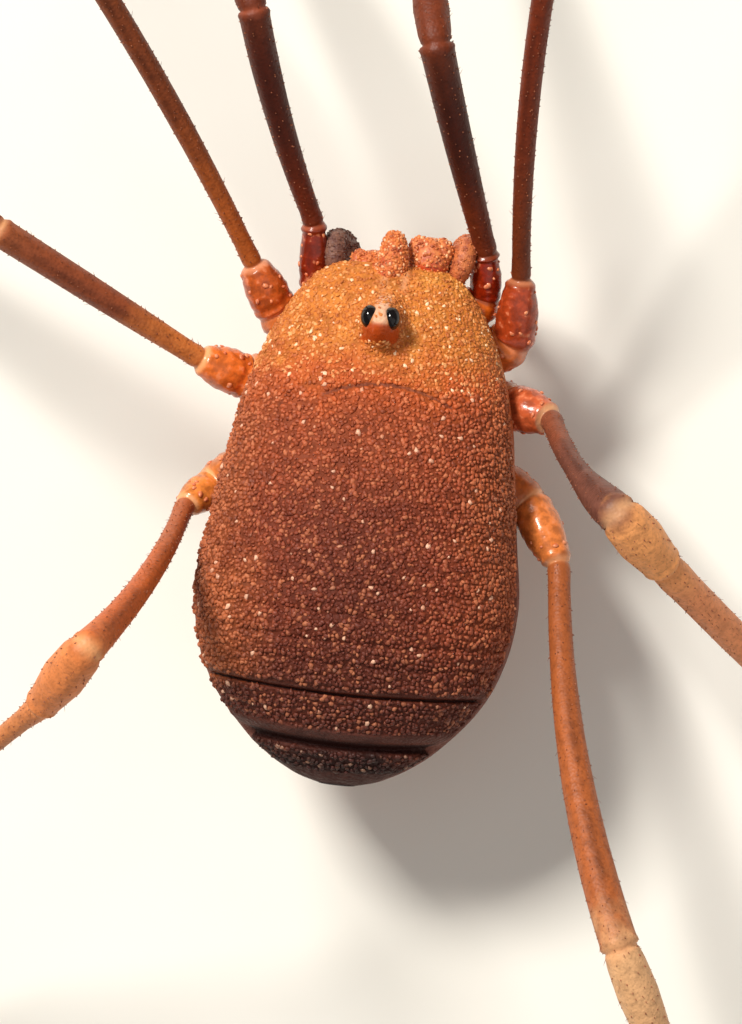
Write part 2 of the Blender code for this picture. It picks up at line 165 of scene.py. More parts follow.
def homes_round(angle: Array, share: Array) -> Array:
    """Places on a tube unwrapped to a square: turns round it against share of its length."""
    return np.stack([(angle / TURN) % 1.0, share], axis=1)


def spread(low: float, high: float, count: int, spots: Sequence[Triple]) -> Array:
    """Places from ``low`` to ``high`` that crowd together at some spots.

    The crowding is 1 plus a bell curve of its own weight at each spot, and equal
    shares of its running sum lie between neighbouring places.

    Args:
        low: the first place.
        high: the last place.
        count: how many places to make.
        spots: the middle, half width and weight of each spot.

    Returns:
        The places, in rising order.
    """
    fine = np.linspace(low, high, 4000)
    crowd = np.ones_like(fine)
    for middle, half_width, weight in spots:
        crowd += weight * bell(fine, middle, half_width)
    total = np.concatenate([[0.0], np.cumsum(0.5 * (crowd[1:] + crowd[:-1]))])
    return np.interp(np.linspace(0.0, total[-1], count), total, fine)


@dataclass
class Form:
    """A closed surface in the animal's millimetres, before it becomes a mesh."""

    points: Array
    faces: list[Array]
    marks: dict[str, Array] = field(default_factory=dict)
    patch: Union[Array, None] = None

    @staticmethod
    def joined(forms: Sequence["Form"]) -> "Form":
        """Several surfaces as one, with the marks that the first of them has."""
        starts = np.cumsum([0] + [len(form.points) for form in forms[:-1]])
        patches = [form.patch for form in forms]
        return Form(
            np.concatenate([form.points for form in forms]),
            [block + start for form, start in zip(forms, starts) for block in form.faces],
            {name: np.concatenate([form.marks[name] for form in forms]) for name in forms[0].marks},
            None if patches[0] is None else np.concatenate(patches),
        )


def loft(rings: Array, first: Array, last: Array, marks: Union[Mapping[str, Array], None] = None) -> Form:
    """A closed surface through rings of points that ends in two tips.

    Point (i, j) of the grid is joined to (i + 1, j), (i + 1, j + 1) and (i, j + 1),
    with j counted round the ring, and each end ring to its tip by a fan.

    Args:
        rings: the grid, (rings, sides, 3).
        first: the tip before the first ring.
        last: the tip after the last ring.
        marks: values at the grid's points, which the tips take from their rings.

    Returns:
        The surface, with its faces outwards where the rings run anticlockwise as
        seen from the last tip towards the first.
    """
    count, sides = rings.shape[:2]
    here = np.arange(count * sides).reshape(count, sides)
    after = np.roll(here, -1, axis=1)
    quads = np.stack([here[:-1], here[1:], after[1:], after[:-1]], axis=-1).reshape(-1, 4)
    start, end = count * sides, count * sides + 1
    fans = np.concatenate([
        np.stack([np.full(sides, start), here[0], after[0]], axis=-1),
        np.stack([np.full(sides, end), after[-1], here[-1]], axis=-1),
    ])
    carried = {
        name: np.concatenate([grid.reshape(-1), [grid[0].mean(), grid[-1].mean()]])
        for name, grid in (marks or {}).items()
    }
    return Form(np.concatenate([rings.reshape(-1, 3), [first, last]]), [quads, fans], carried)


def bead(sides: int, profile: Sequence[tuple[float, float]], uneven: float = 0.0) -> Form:
    """A small closed shape about Z, with a flat underside.

    At angle a the radius is the ring's own times 1 + u cos(2a + 1) + u / 2 cos 3a.

    Args:
        sides: how many sides it has.
        profile: radius and height of each ring from the base up, and last the tip.
        uneven: how far its outline strays from round.

    Returns:
        The shape, of about unit size.
    """
    angle = np.arange(sides) * TURN / sides
    stray = 1.0 + uneven * np.cos(2.0 * angle + 1.0) + 0.5 * uneven * np.cos(3.0 * angle)
    radius, height = np.array(profile).T
    x = radius[:-1, None] * np.cos(angle) * stray
    y = radius[:-1, None] * np.sin(angle) * stray
    z = np.broadcast_to(height[:-1, None], x.shape)
    rings = np.stack([x, y, z], axis=-1)
    count = len(rings)
    here = np.arange(count * sides).reshape(count, sides)
    after = np.roll(here, -1, axis=1)
    bands = np.stack([here[:-1], after[:-1], after[1:], here[1:]], axis=-1).reshape(-1, 4)
    top = np.stack([here[-1], after[-1], np.full(sides, count * sides)], axis=-1)
    points = np.concatenate([rings.reshape(-1, 3), [[0.0, 0.0, height[-1]]]])
    return Form(points, [bands, top, here[0][None, ::-1]])


def strew(shape: Form, roots: Array, axes: Array, sizes: Array, homes: Array, tints: Array) -> Form:
    """Copies of one small shape, each at a root of its own.

    A copy's point is root + sx x X + sy y Y + sz z Z, where X, Y and Z are its axes
    and sx, sy and sz its sizes. In the UV map each copy is a patch of a few
    thousandths across, at its root's place on the unwrapped skin.

    Args:
        shape: the shape, of unit size.
        roots: the roots, (n, 3).
        axes: the rows X, Y and Z of each copy, (n, 3, 3).
        sizes: the three sizes of each copy, (n, 3).
        homes: each root's place on the unwrapped skin, (n, 2).
        tints: one number for each copy, kept as the mark ``tint``.

    Returns:
        All the copies as one surface.
    """
    count, corners = len(roots), len(shape.points)
    points = roots[:, None, :] + np.einsum("pk,nk,nkj->npj", shape.points, sizes, axes)
    starts = (np.arange(count) * corners)[:, None, None]
    faces = [(block[None] + starts).reshape(-1, block.shape[1]) for block in shape.faces]
    spot = np.clip(shape.points[:, :2], -1.0, 1.0) * 0.5 * BAKE_PATCH
    patch = (homes[:, None, :] + spot[None]).reshape(-1, 2)
    return Form(points.reshape(-1, 3), faces, {"tint": np.repeat(tints, corners)}, patch)


@dataclass(frozen=True)
class Granules:
    """How the granules of one kind vary, all in shares of their pitch."""

    girth: tuple[float, float] = (0.30, 0.60)
    length: tuple[float, float] = (1.0, 1.7)
    height: tuple[float, float] = (0.26, 0.60)
    lean: float = 0.22
    sides: int = 6

    def strewn(
        self, roots: Array, outward: Array, along: Array, homes: Array, pitch: float, rng: Chance
    ) -> Form:
        """Low uneven domes, one at each root, turned at random and leaning a little.

        Args:
            roots: the roots, (n, 3).
            outward: the directions out of the skin.
            along: the directions along the skin.
            homes: each root's place on the unwrapped skin, (n, 2).
            pitch: the distance between granules.
            rng: the source of their differences.

        Returns:
            All the domes as one surface.
        """
        count = len(roots)
        up = unit(outward + rng.normal(0.0, self.lean, (count, 3)))
        across = unit(np.cross(along, up))
        ahead = np.cross(up, across)
        spin = rng.uniform(0.0, TURN, count)[:, None]
        first = np.cos(spin) * across + np.sin(spin) * ahead
        axes = np.stack([first, np.cross(up, first), up], axis=1)
        girth = pitch * rng.uniform(*self.girth, count)
        sizes = np.stack([
            girth, girth * rng.uniform(*self.length, count), pitch * rng.uniform(*self.height, count),
        ], axis=1)
        dome = bead(self.sides, DOME, UNEVEN)
        return strew(dome, roots, axes, sizes, homes, rng.uniform(0.0, 1.0, count))


def around(along: Array, angle: Array) -> Array:
    """Directions square to others: level at angle 0 and upright at a quarter turn."""
    level = unit(np.cross(along, (0.0, 0.0, 1.0)))
    return np.cos(angle)[..., None] * level + np.sin(angle)[..., None] * np.cross(level, along)


def tube(path: Array, radii: Array, turn: Array) -> Array:
    """Rings carried along a path.

    A ring's point is path + r (cos a level + sin a upright), so that the angle a
    starts at one side and goes over the top.

    Args:
        path: the middle line, (rings, 3), which is nowhere vertical.
        radii: the radius at each point of the grid, (rings, sides).
        turn: the angle of each side.

    Returns:
        The grid of points, (rings, sides, 3).
    """
    ahead = unit(np.gradient(path, axis=0))
    return path[:, None] + around(ahead[:, None], turn[None]) * radii[..., None]


@dataclass(frozen=True)
class Limb:
    """A short rounded limb through a few points."""

    points: tuple[Triple, ...]
    radii: tuple[float, ...]

    def table(self) -> Array:
        """Chord length, place and radius at each of the limb's points."""
        line = np.array(self.points, dtype=float)
        return np.column_stack([run_of(line), line, self.radii])

    def cap(self) -> float:
        """How long each rounded end is."""
        return 0.9 * min(self.radii[0], self.radii[-1], 0.3 * self.table()[-1, 0])

    def at(self, s: Array) -> tuple[Array, Array]:
        """The middle line and the radius at chord lengths.

        Both are smooth curves of the chord length, and both ends are rounded, as the
        radius goes to 0 like the square root of 1 - t^2.
        """
        table = self.table()
        values = smooth_rows(table, s)
        ends = np.clip(np.minimum(s, table[-1, 0] - s) / self.cap(), 0.0, 1.0)
        return values[:, :3], values[:, 3] * np.sqrt(1.0 - (1.0 - ends) ** 2)

    def form(self, steps: int = 40, sides: int = 28) -> Form:
        """The limb as one closed surface."""
        length, cap = self.table()[-1, 0], self.cap()
        s = spread(0.0, length, steps, [(0.0, cap, 4.0), (length, cap, 4.0)])[1:-1]
        line, radius = self.at(s)
        turn = np.arange(sides) * TURN / sides
        rings = tube(line, np.repeat(radius[:, None], sides, axis=1), turn)
        return loft(rings, np.array(self.points[0]), np.array(self.points[-1]))

    def grained(self, pitch: float, kind: Granules, seed: int) -> Form:
        """Granules all over the limb, in shaken rings."""
        rng = np.random.RandomState(seed)
        length = self.table()[-1, 0]
        rows = np.arange(0.4 * pitch, length, 0.87 * pitch)
        _, radius = self.at(rows)
        counts = np.maximum((TURN * radius / pitch).astype(int), 3)
        s = np.repeat(rows, counts) + rng.normal(0.0, 0.25 * pitch, counts.sum())
        angle = np.concatenate([(np.arange(count) + rng.uniform()) * TURN / count for count in counts])
        wide = np.repeat(np.maximum(radius, pitch), counts)
        angle = angle + rng.normal(0.0, 0.25, len(angle)) * pitch / wide
        s = np.clip(s, 0.02 * length, 0.98 * length)
        line, radius = self.at(s)
        after, _ = self.at(s + 0.01 * length)
        along = unit(after - line)
        outward = around(along, angle)
        roots = line + outward * radius[:, None]
        return kind.strewn(roots, outward, along, homes_round(angle, s / length), pitch, rng)


@dataclass(frozen=True)
class Datum:
    """Where the animal's own origin lies in the frame, in millimetres."""

    offset: Triple

    @classmethod
    def read(cls, node: str, middle: Triple) -> "Datum":
        """Find the origin from a node whose middle is known in the animal's millimetres."""
        low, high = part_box(node)
        seen = 0.5 * (np.array(low) + np.array(high)) / MILLIMETRE
        return cls(tuple(float(value) for value in seen - np.array(middle)))

    def metres(self, points: Array) -> Array:
        """Points of the animal as points of the frame."""
        return (np.asarray(points) + self.offset) * MILLIMETRE


def put(
    name: str, data: bpy.types.ID, axes: Sequence[Array] = (), place: Sequence[float] = ()
) -> bpy.types.Object:
    """Add an object to the scene.

    Args:
        name: its name.
        data: its mesh, light or camera.
        axes: its own X, Y and Z, where it is turned.
        place: where it then stands, in the frame's metres.

    Returns:
        The object.
    """
    made = bpy.data.objects.new(name, data)
    if len(axes) > 0:
        matrix = np.eye(4)
        matrix[:3, :3] = np.stack(axes, axis=1)
        matrix[:3, 3] = place
        made.matrix_world = Matrix(matrix.tolist())
    bpy.context.scene.collection.objects.link(made)
    return made


@dataclass
class Workshop:
    """Turns surfaces into finished pieces of the model."""

    datum: Datum
    made: int = 0

    def piece(
        self, name: str, form: Form, finish: bpy.types.Material, nodes: Sequence[str] = ()
    ) -> bpy.types.Object:
        """Make one piece, dress it and tie it to the body.

        Args:
            name: the piece's name.
            form: its surface.
            finish: its material.
            nodes: the solids that it stands for.

        Returns:
            The piece.
        """
        mesh = bpy.data.meshes.new(name)
        corners = np.concatenate([block.ravel() for block in form.faces]).astype(np.int32)
        sizes = np.concatenate([np.full(len(block), block.shape[1]) for block in form.faces])
        mesh.vertices.add(len(form.points))
        mesh.vertices.foreach_set("co", self.datum.metres(form.points).ravel())
        mesh.loops.add(len(corners))
        mesh.loops.foreach_set("vertex_index", corners)
        mesh.polygons.add(len(sizes))
        mesh.polygons.foreach_set("loop_start", (np.cumsum(sizes) - sizes).astype(np.int32))
        mesh.polygons.foreach_set("use_smooth", np.ones(len(sizes), dtype=bool))
        for mark, values in form.marks.items():
            layer = mesh.attributes.new(mark, "FLOAT", "POINT")
            layer.data.foreach_set("value", values.astype(np.float32))
        if form.patch is not None:
            layer = mesh.uv_layers.new(name="OFBake")
            layer.data.foreach_set("uv", form.patch[corners].astype(np.float32).ravel())
        mesh.update(calc_edges=True)
        mesh.materials.append(finish)
        made = put(name, mesh)
        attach(made, BODY)
        if nodes:
            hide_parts(*nodes)
        self.made += 1
        log.info("%s: %d points, %d faces", name, len(form.points), len(sizes))
        return made


def linear(red: float, green: float, blue: float) -> Colour:
    """A colour seen on a screen, 0 to 255, as linear light."""
    shares = np.array([red, green, blue]) / 255.0
    light = np.where(shares <= 0.04045, shares / 12.92, ((shares + 0.055) / 1.055) ** 2.4)
    return tuple(float(value) for value in light)


def sum_of(operation: str, swapped: bool = False) -> Callable[["Wire", "Feed"], "Wire"]:
    """A method that works out one sum of a wire and another value.

    Args:
        operation: the Math node's operation.
        swapped: whether the other value comes first.

    Returns:
        The method.
    """

    def method(wire: "Wire", other: "Feed") -> "Wire":
        """The sum, as a new wire."""
        first, second = (other, wire) if swapped else (wire, other)
        return wire.desk.maths(operation, first, second)

    return method


@dataclass(frozen=True)
class Wire:
    """A socket's number, with arithmetic that adds the Math nodes it needs."""

    desk: "Desk"
    socket: bpy.types.NodeSocket

    __add__ = __radd__ = sum_of("ADD")
    __sub__ = sum_of("SUBTRACT")
    __rsub__ = sum_of("SUBTRACT", swapped=True)
    __mul__ = __rmul__ = sum_of("MULTIPLY")

    def size(self) -> "Wire":
        """The value without its sign."""
        return self.desk.maths("ABSOLUTE", self)

    def step(self, low: float, high: float) -> "Wire":
        """A soft step that is 0 at ``low`` and 1 at ``high``; the two may be either way round."""
        if low > high:
            return 1.0 - self.step(high, low)
        settings = {"interpolation_type": "SMOOTHSTEP", "clamp": True}
        return self.desk.node("ShaderNodeMapRange", settings, {0: self, 1: low, 2: high, 3: 0.0, 4: 1.0})

    def bell(self, middle: float, half_width: float) -> "Wire":
        """A soft bump that is 1 at ``middle`` and 0 beyond ``half_width``."""
        return (self - middle).size().step(half_width, 0.0)


Feed = Union[Wire, float, Sequence[float]]


@dataclass(frozen=True)
class Desk:
    """The node tree of one material, with short ways to add to it."""

    tree: bpy.types.NodeTree

    @classmethod
    def open(cls, name: str) -> tuple[bpy.types.Material, "Desk"]:
        """Start a material with an empty tree."""
        made = bpy.data.materials.new(name)
        made.use_nodes = True
        made.node_tree.nodes.clear()
        return made, cls(made.node_tree)

    def node(
        self, kind: str, settings: Union[Mapping[str, object], None] = None,
        inputs: Union[Mapping[Union[str, int], Feed], None] = None, output: Union[str, int] = 0,
    ) -> Wire:
        """Add one node of any kind.

        Args:
            kind: the node's type.
            settings: its properties.
            inputs: the value or link of each socket, by name or number.
            output: the socket to hand back.

        Returns:
            The chosen output.
        """
        made = self.tree.nodes.new(kind)
        for key, value in (settings or {}).items():
            setattr(made, key, value)
        for key, value in (inputs or {}).items():
            if isinstance(value, Wire):
                self.tree.links.new(value.socket, made.inputs[key])
            else:
                made.inputs[key].default_value = value
        return Wire(self, made.outputs[output])

    def maths(self, operation: str, first: Feed, second: Feed = 0.0) -> Wire:
        """One sum on numbers."""
        return self.node("ShaderNodeMath", {"operation": operation}, {0: first, 1: second})

    def mix(self, factor: Feed, low: Union[Wire, Colour], high: Union[Wire, Colour]) -> Wire:
        """A blend from one colour to another."""
        ends = [value if isinstance(value, Wire) else (*value, 1.0) for value in (low, high)]
        return self.node("ShaderNodeMix", {"data_type": "RGBA"}, {0: factor, 6: ends[0], 7: ends[1]}, 2)

    def place(self, datum: Datum) -> Wire:
        """The point being shaded, in the animal's millimetres."""
        seen = self.node("ShaderNodeTexCoord", output="Object")
        scale = (1.0 / MILLIMETRE,) * 3
        shift = tuple(-value for value in datum.offset)
        settings = {"operation": "MULTIPLY_ADD"}
        return self.node("ShaderNodeVectorMath", settings, {0: seen, 1: scale, 2: shift})

    def axes(self, place: Wire) -> tuple[Wire, Wire, Wire]:
        """The three numbers of a point."""
        made = self.tree.nodes.new("ShaderNodeSeparateXYZ")
        self.tree.links.new(place.socket, made.inputs[0])
        return tuple(Wire(self, socket) for socket in made.outputs)

    def noise(self, place: Wire, pitch: float, detail: float) -> Wire:
        """Cloudy noise about 0.5, with blotches ``pitch`` millimetres apart."""
        inputs = {"Vector": place, "Scale": 1.0 / pitch, "Detail": detail, "Roughness": 0.5}
        return self.node("ShaderNodeTexNoise", None, inputs)

    def cells(self, place: Wire, pitch: float) -> Wire:
        """Distance from the nearest of many scattered points ``pitch`` millimetres apart."""
        return self.node("ShaderNodeTexVoronoi", None, {"Vector": place, "Scale": 1.0 / pitch})

    def mark(self, name: str) -> Wire:
        """A number that the piece keeps at each of its points."""
        return self.node("ShaderNodeAttribute", {"attribute_name": name}, output="Fac")

    def bump(self, height: Wire, depth: float) -> Wire:
        """A surface direction tilted by a height of up to ``depth`` millimetres."""
        inputs = {"Strength": 1.0, "Distance": depth * MILLIMETRE, "Height": height}
        return self.node("ShaderNodeBump", None, inputs)

    def surface(self, **sockets: Feed) -> None:
        """Finish the tree with a Principled shader whose sockets are given by name."""
        inputs = {}
        for name, value in sockets.items():
            label = name.replace("_", " ").title().replace("Ior", "IOR")
            inputs[label] = (*value, 1.0) if isinstance(value, tuple) else value
        shader = self.node("ShaderNodeBsdfPrincipled", None, inputs)
        made = self.tree.nodes.new("ShaderNodeOutputMaterial")
        self.tree.links.new(shader.socket, made.inputs["Surface"])


@dataclass(frozen=True)
class BodyColours:
    """The colours of the body, each for one zone of it."""

    head: Colour = linear(208, 122, 50)
    brow: Colour = linear(206, 96, 40)
    shoulder: Colour = linear(172, 80, 42)
    back: Colour = linear(150, 66, 36)
    middle: Colour = linear(106, 44, 26)
    rear: Colour = linear(92, 40, 25)
    # The tail's near-black is painted shade: the rear end that faces away from the light.
    tail: Colour = linear(36, 14, 9)
    flank: Colour = linear(178, 94, 48)
    fold: Colour = linear(122, 76, 64)
    rim: Colour = linear(86, 50, 42)
    belly: Colour = linear(176, 104, 52)
    glow: Colour = linear(234, 156, 70)

    def zones(self, desk: Desk, place: Wire) -> Wire:
        """The colour of each place on the body.

        Soft steps along and across the body blend one zone into the next, and noise
        makes their borders uneven.
        """
        x, y, z = desk.axes(place)
        drift = desk.noise(place, 0.6, 3.0) - 0.5
        y = y + drift * 1.1
        colour = desk.mix(y.step(0.1, -1.3), self.back, self.shoulder)
        colour = desk.mix(y.step(-1.3, -2.3), colour, self.brow)
        colour = desk.mix(y.step(-1.9, -2.9), colour, self.head)
        patches = desk.noise(place, 0.9, 2.0).step(0.46, 0.62) * y.step(-2.0, -2.6) * x.size().step(0.3, 0.6)
        colour = desk.mix(patches * 0.7, colour, self.glow)
        side = (x + drift * 0.8).size().step(1.25, 2.2) * y.step(2.6, -0.4)
        colour = desk.mix(side * 0.8, colour, self.flank)
        heart = (x * 0.55 + drift * 0.3).bell(0.0, 1.05) * y.bell(1.3, 2.6)
        colour = desk.mix(heart * 0.85, colour, self.middle)
        colour = desk.mix(y.step(1.2, 2.6) * 0.9, colour, self.rear)
        left = (x + drift * 0.8).step(0.9, 1.9) * y.step(0.2, 1.2) * y.step(2.7, 2.3)
        colour = desk.mix(left * 0.75, colour, self.flank)
        # Painted shade: the tail end darkens into the tail colour.
        colour = desk.mix(y.step(2.9, 3.5), colour, self.tail)
        return desk.mix(z.step(2.9, 2.2) * y.step(-3.2, -2.4), colour, self.belly)


@dataclass(frozen=True)
class HideFinish:
    """The hide between the granules: a darker tone of each zone, partly its own colour and partly painted
    shade between the granules and in the deep creases, dull and pitted.
    """

    colours: BodyColours
    gap: Colour = linear(44, 13, 7)
    strip: Colour = linear(226, 172, 138)
    slope: Colour = linear(176, 62, 14)

    def material(self, datum: Datum) -> bpy.types.Material:
        """Make the finish."""
        made, desk = Desk.open("hide")
        place = desk.place(datum)
        _, y, _ = desk.axes(place)
        zones = self.colours.zones(desk, place)
        grained = desk.mark("grained")
        mottle = desk.noise(place, 0.16, 3.0)
        fine = desk.noise(place, 0.045, 2.0)
        pits = desk.cells(place, 0.07)
        # Between the granules the hide darkens towards the gap colour: partly its own darker colour, partly
        # painted shade.
        dark = grained * (y.step(-3.0, -1.2) * 0.42 + 0.03)
        colour = desk.mix(dark, zones, self.gap)
        colour = desk.mix(desk.mark("smooth") * (0.45 + fine * 0.5), colour, self.colours.rim)
        colour = desk.mix(desk.mark("pleura") * 0.85, colour, self.colours.fold)
        colour = desk.mix((mottle - 0.42) * 1.3, colour, self.gap)
        colour = desk.mix(desk.mark("pale") * (0.65 + fine * 0.6), colour, self.strip)
        slope = desk.mark("slope")
        colour = desk.mix(slope * 0.9, colour, self.slope)
        # Painted shade: the deep creases are filled with the dark gap colour.
        colour = desk.mix(desk.mark("crease_shade"), colour, self.gap)
        rough = 0.66 + (mottle - 0.5) * 0.3 - slope * 0.34
        height = fine * 0.8 + mottle * 0.8 + (1.0 - pits) * (1.0 - slope)
        desk.surface(
            base_color=colour, roughness=rough, specular_ior_level=0.2, normal=desk.bump(height, 0.02),
        )
        return made


@dataclass(frozen=True)
class GrainFinish:
    """The granules: each of its own shade; the paler ones are partly their own colour and partly painted
    highlight, and a few carry a painted glint.
    """

    name: str
    colours: BodyColours
    # The pale colour is partly the granules' own and partly painted highlight; the last colour is a painted
    # glint.
    light: Colour
    dark: Colour
    painted_glint: Colour
    lift: float = 0.55
    rare: float = 0.978

    def material(self, datum: Datum) -> bpy.types.Material:
        """Make the finish."""
        made, desk = Desk.open(self.name)
        place = desk.place(datum)
        zones = self.colours.zones(desk, place)
        tint = desk.mark("tint")
        mottle = desk.noise(place, 0.22, 3.0)
        fine = desk.noise(place, 0.035, 2.0)
        colour = desk.mix(tint.step(0.4, 0.0) * 0.4, zones, self.dark)
        _, y, _ = desk.axes(place)
        # Painted highlights and glints fade towards the tail, which faces away from the key light.
        ahead = y.step(3.5, 2.7) * 0.8 + 0.2
        lit = tint.step(0.45, 0.95) * self.lift * mottle.step(0.34, 0.62) * ahead
        colour = desk.mix(lit, colour, self.light)
        colour = desk.mix(mottle.step(0.5, 0.34) * 0.35, colour, self.dark)
        colour = desk.mix((fine - 0.4) * 0.6, colour, self.dark)
        # Painted glint: the rarest granules take a near-white colour and a smoother surface.
        painted_glint = tint.step(self.rare, self.rare + 0.01)
        colour = desk.mix(painted_glint * 0.7 * ahead, colour, self.painted_glint)
        rough = 0.5 + mottle * 0.16 - painted_glint * 0.3
        normal = desk.bump(fine, 0.012)
        desk.surface(base_color=colour, roughness=rough, specular_ior_level=0.4, normal=normal)
        return made


@dataclass(frozen=True)
class LegColours:
    """The colours of one leg from its base to its toe."""

    coxa: Colour
    hip: Colour
    root: Colour
    shaft: Colour
    knee: Colour
    shin: Colour
    # The joint rings' colour is partly the pale joint membrane and partly painted highlight on the rims.
    ring: Colour = linear(222, 146, 104)
    knee_from: float = 2.72


@dataclass(frozen=True)
class LegFinish:
    """The shell of a leg: finely granular, streaked, amber at the hip and pale at the joints."""

    name: str
    colours: LegColours
    shade: Colour = linear(38, 10, 6)
    lumps: Colour = linear(238, 150, 106)

    def material(self, datum: Datum) -> bpy.types.Material:
        """Make the finish."""
        made, desk = Desk.open(self.name)
        colours = self.colours
        place = desk.place(datum)
        run = desk.mark("run")
        cloud = desk.noise(place, 0.5, 3.0)
        mottle = desk.noise(place, 0.13, 3.0)
        fine = desk.noise(place, 0.045, 2.0)
        shifted = run + (cloud - 0.5) * 0.35
        hip = desk.mix(mottle.step(0.60, 0.36) * 0.4, colours.hip, self.shade)
        hip = desk.mix(mottle.step(0.58, 0.70) * 0.45, hip, self.lumps)
        under = desk.mix(mottle.step(0.62, 0.38) * 0.3, colours.coxa, self.shade)
        hip = desk.mix(run.step(1.06, 0.98), hip, under)
        colour = desk.mix(run.step(1.86, 2.02), hip, colours.root)
        colour = desk.mix(shifted.step(2.12, 2.5), colour, colours.shaft)
        start = colours.knee_from
        colour = desk.mix(shifted.step(start, min(start + 0.38, 3.12)), colour, colours.knee)
        colour = desk.mix(shifted.step(3.85, 4.3), colour, colours.shin)
        shelled = run.step(1.95, 2.1)
        colour = desk.mix((mottle - 0.42) * 0.9 * shelled, colour, self.shade)
        streak = desk.mark("streak") * cloud.step(0.3, 0.6)
        colour = desk.mix(streak * 0.5, colour, self.shade)
        colour = desk.mix(fine.step(0.50, 0.72) * shelled * 0.24, colour, self.shade)
        # Pale joint rings: partly the joints' own pale membrane, partly painted highlight on the rims.
        colour = desk.mix(desk.mark("ring") * (0.35 + mottle * 0.8), colour, colours.ring)
        glossy = run.step(2.05, 1.95)
        rough = 0.5 - glossy * 0.22 + (cloud - 0.5) * 0.25
        pits = desk.cells(place, 0.05)
        height = (1.0 - pits) * (1.0 - glossy * 0.9) * 0.5 + mottle * (0.5 + glossy * 1.2)
        desk.surface(
            base_color=colour, roughness=rough, specular_ior_level=0.22,
            coat_weight=glossy * 0.4, coat_roughness=0.14, normal=desk.bump(height, 0.012),
        )
        return made


@dataclass(frozen=True)
class PlainFinish:
    """A finish of two shades in clouds, with a fine bump."""

    name: str
    main: Colour
    other: Colour
    roughness: float = 0.4
    coat: float = 0.0
    pitch: float = 0.2
    depth: float = 0.008
    sheen: float = 0.4

    def material(self, datum: Datum) -> bpy.types.Material:
        """Make the finish."""
        made, desk = Desk.open(self.name)
        place = desk.place(datum)
        cloud = desk.noise(place, self.pitch, 3.0)
        colour = desk.mix(cloud.step(0.35, 0.7), self.main, self.other)
        rough = self.roughness + (cloud - 0.5) * 0.5 * self.roughness
        normal = desk.bump(desk.noise(place, 0.3 * self.pitch, 2.0), self.depth)
        desk.surface(
            base_color=colour, roughness=rough, specular_ior_level=self.sheen,
            coat_weight=self.coat, coat_roughness=0.06, normal=normal,
        )
        return made


@dataclass(frozen=True)
class MouthGrain:
    """The crumbly granules of the front: pinkish orange, with pale flecks."""

    name: str
    main: Colour = linear(218, 124, 62)
    dark: Colour = linear(160, 72, 36)
    pale: Colour = linear(246, 194, 146)

    def material(self, datum: Datum) -> bpy.types.Material:
        """Make the finish."""
        made, desk = Desk.open(self.name)
        place = desk.place(datum)
        tint = desk.mark("tint")
        mottle = desk.noise(place, 0.13, 3.0)
        colour = desk.mix(mottle.step(0.55, 0.35), self.main, self.dark)
        colour = desk.mix(tint.step(0.7, 0.97) * 0.7, colour, self.pale)
        rough = 0.5 - tint * 0.22
        normal = desk.bump(desk.noise(place, 0.03, 1.0), 0.005)
        desk.surface(base_color=colour, roughness=rough, specular_ior_level=0.4, normal=normal)
        return made


@dataclass(frozen=True)
class Crease:
    """A line across the back: a groove, or a ridge where its depth is negative."""

    place: float
    depth: float
    width: float
    bow: float = 0.0
    middle: float = 0.0
    reach: float = 9.0

    def sink(self, x: Array, y: Array) -> Array:
        """How far the line lowers the back at a place."""
        line = self.place + self.bow * (x - self.middle) ** 2
        inside = ramp(np.abs(x - self.middle), self.reach, 0.8 * self.reach)
        return self.depth * bell(y, line, self.width) * inside


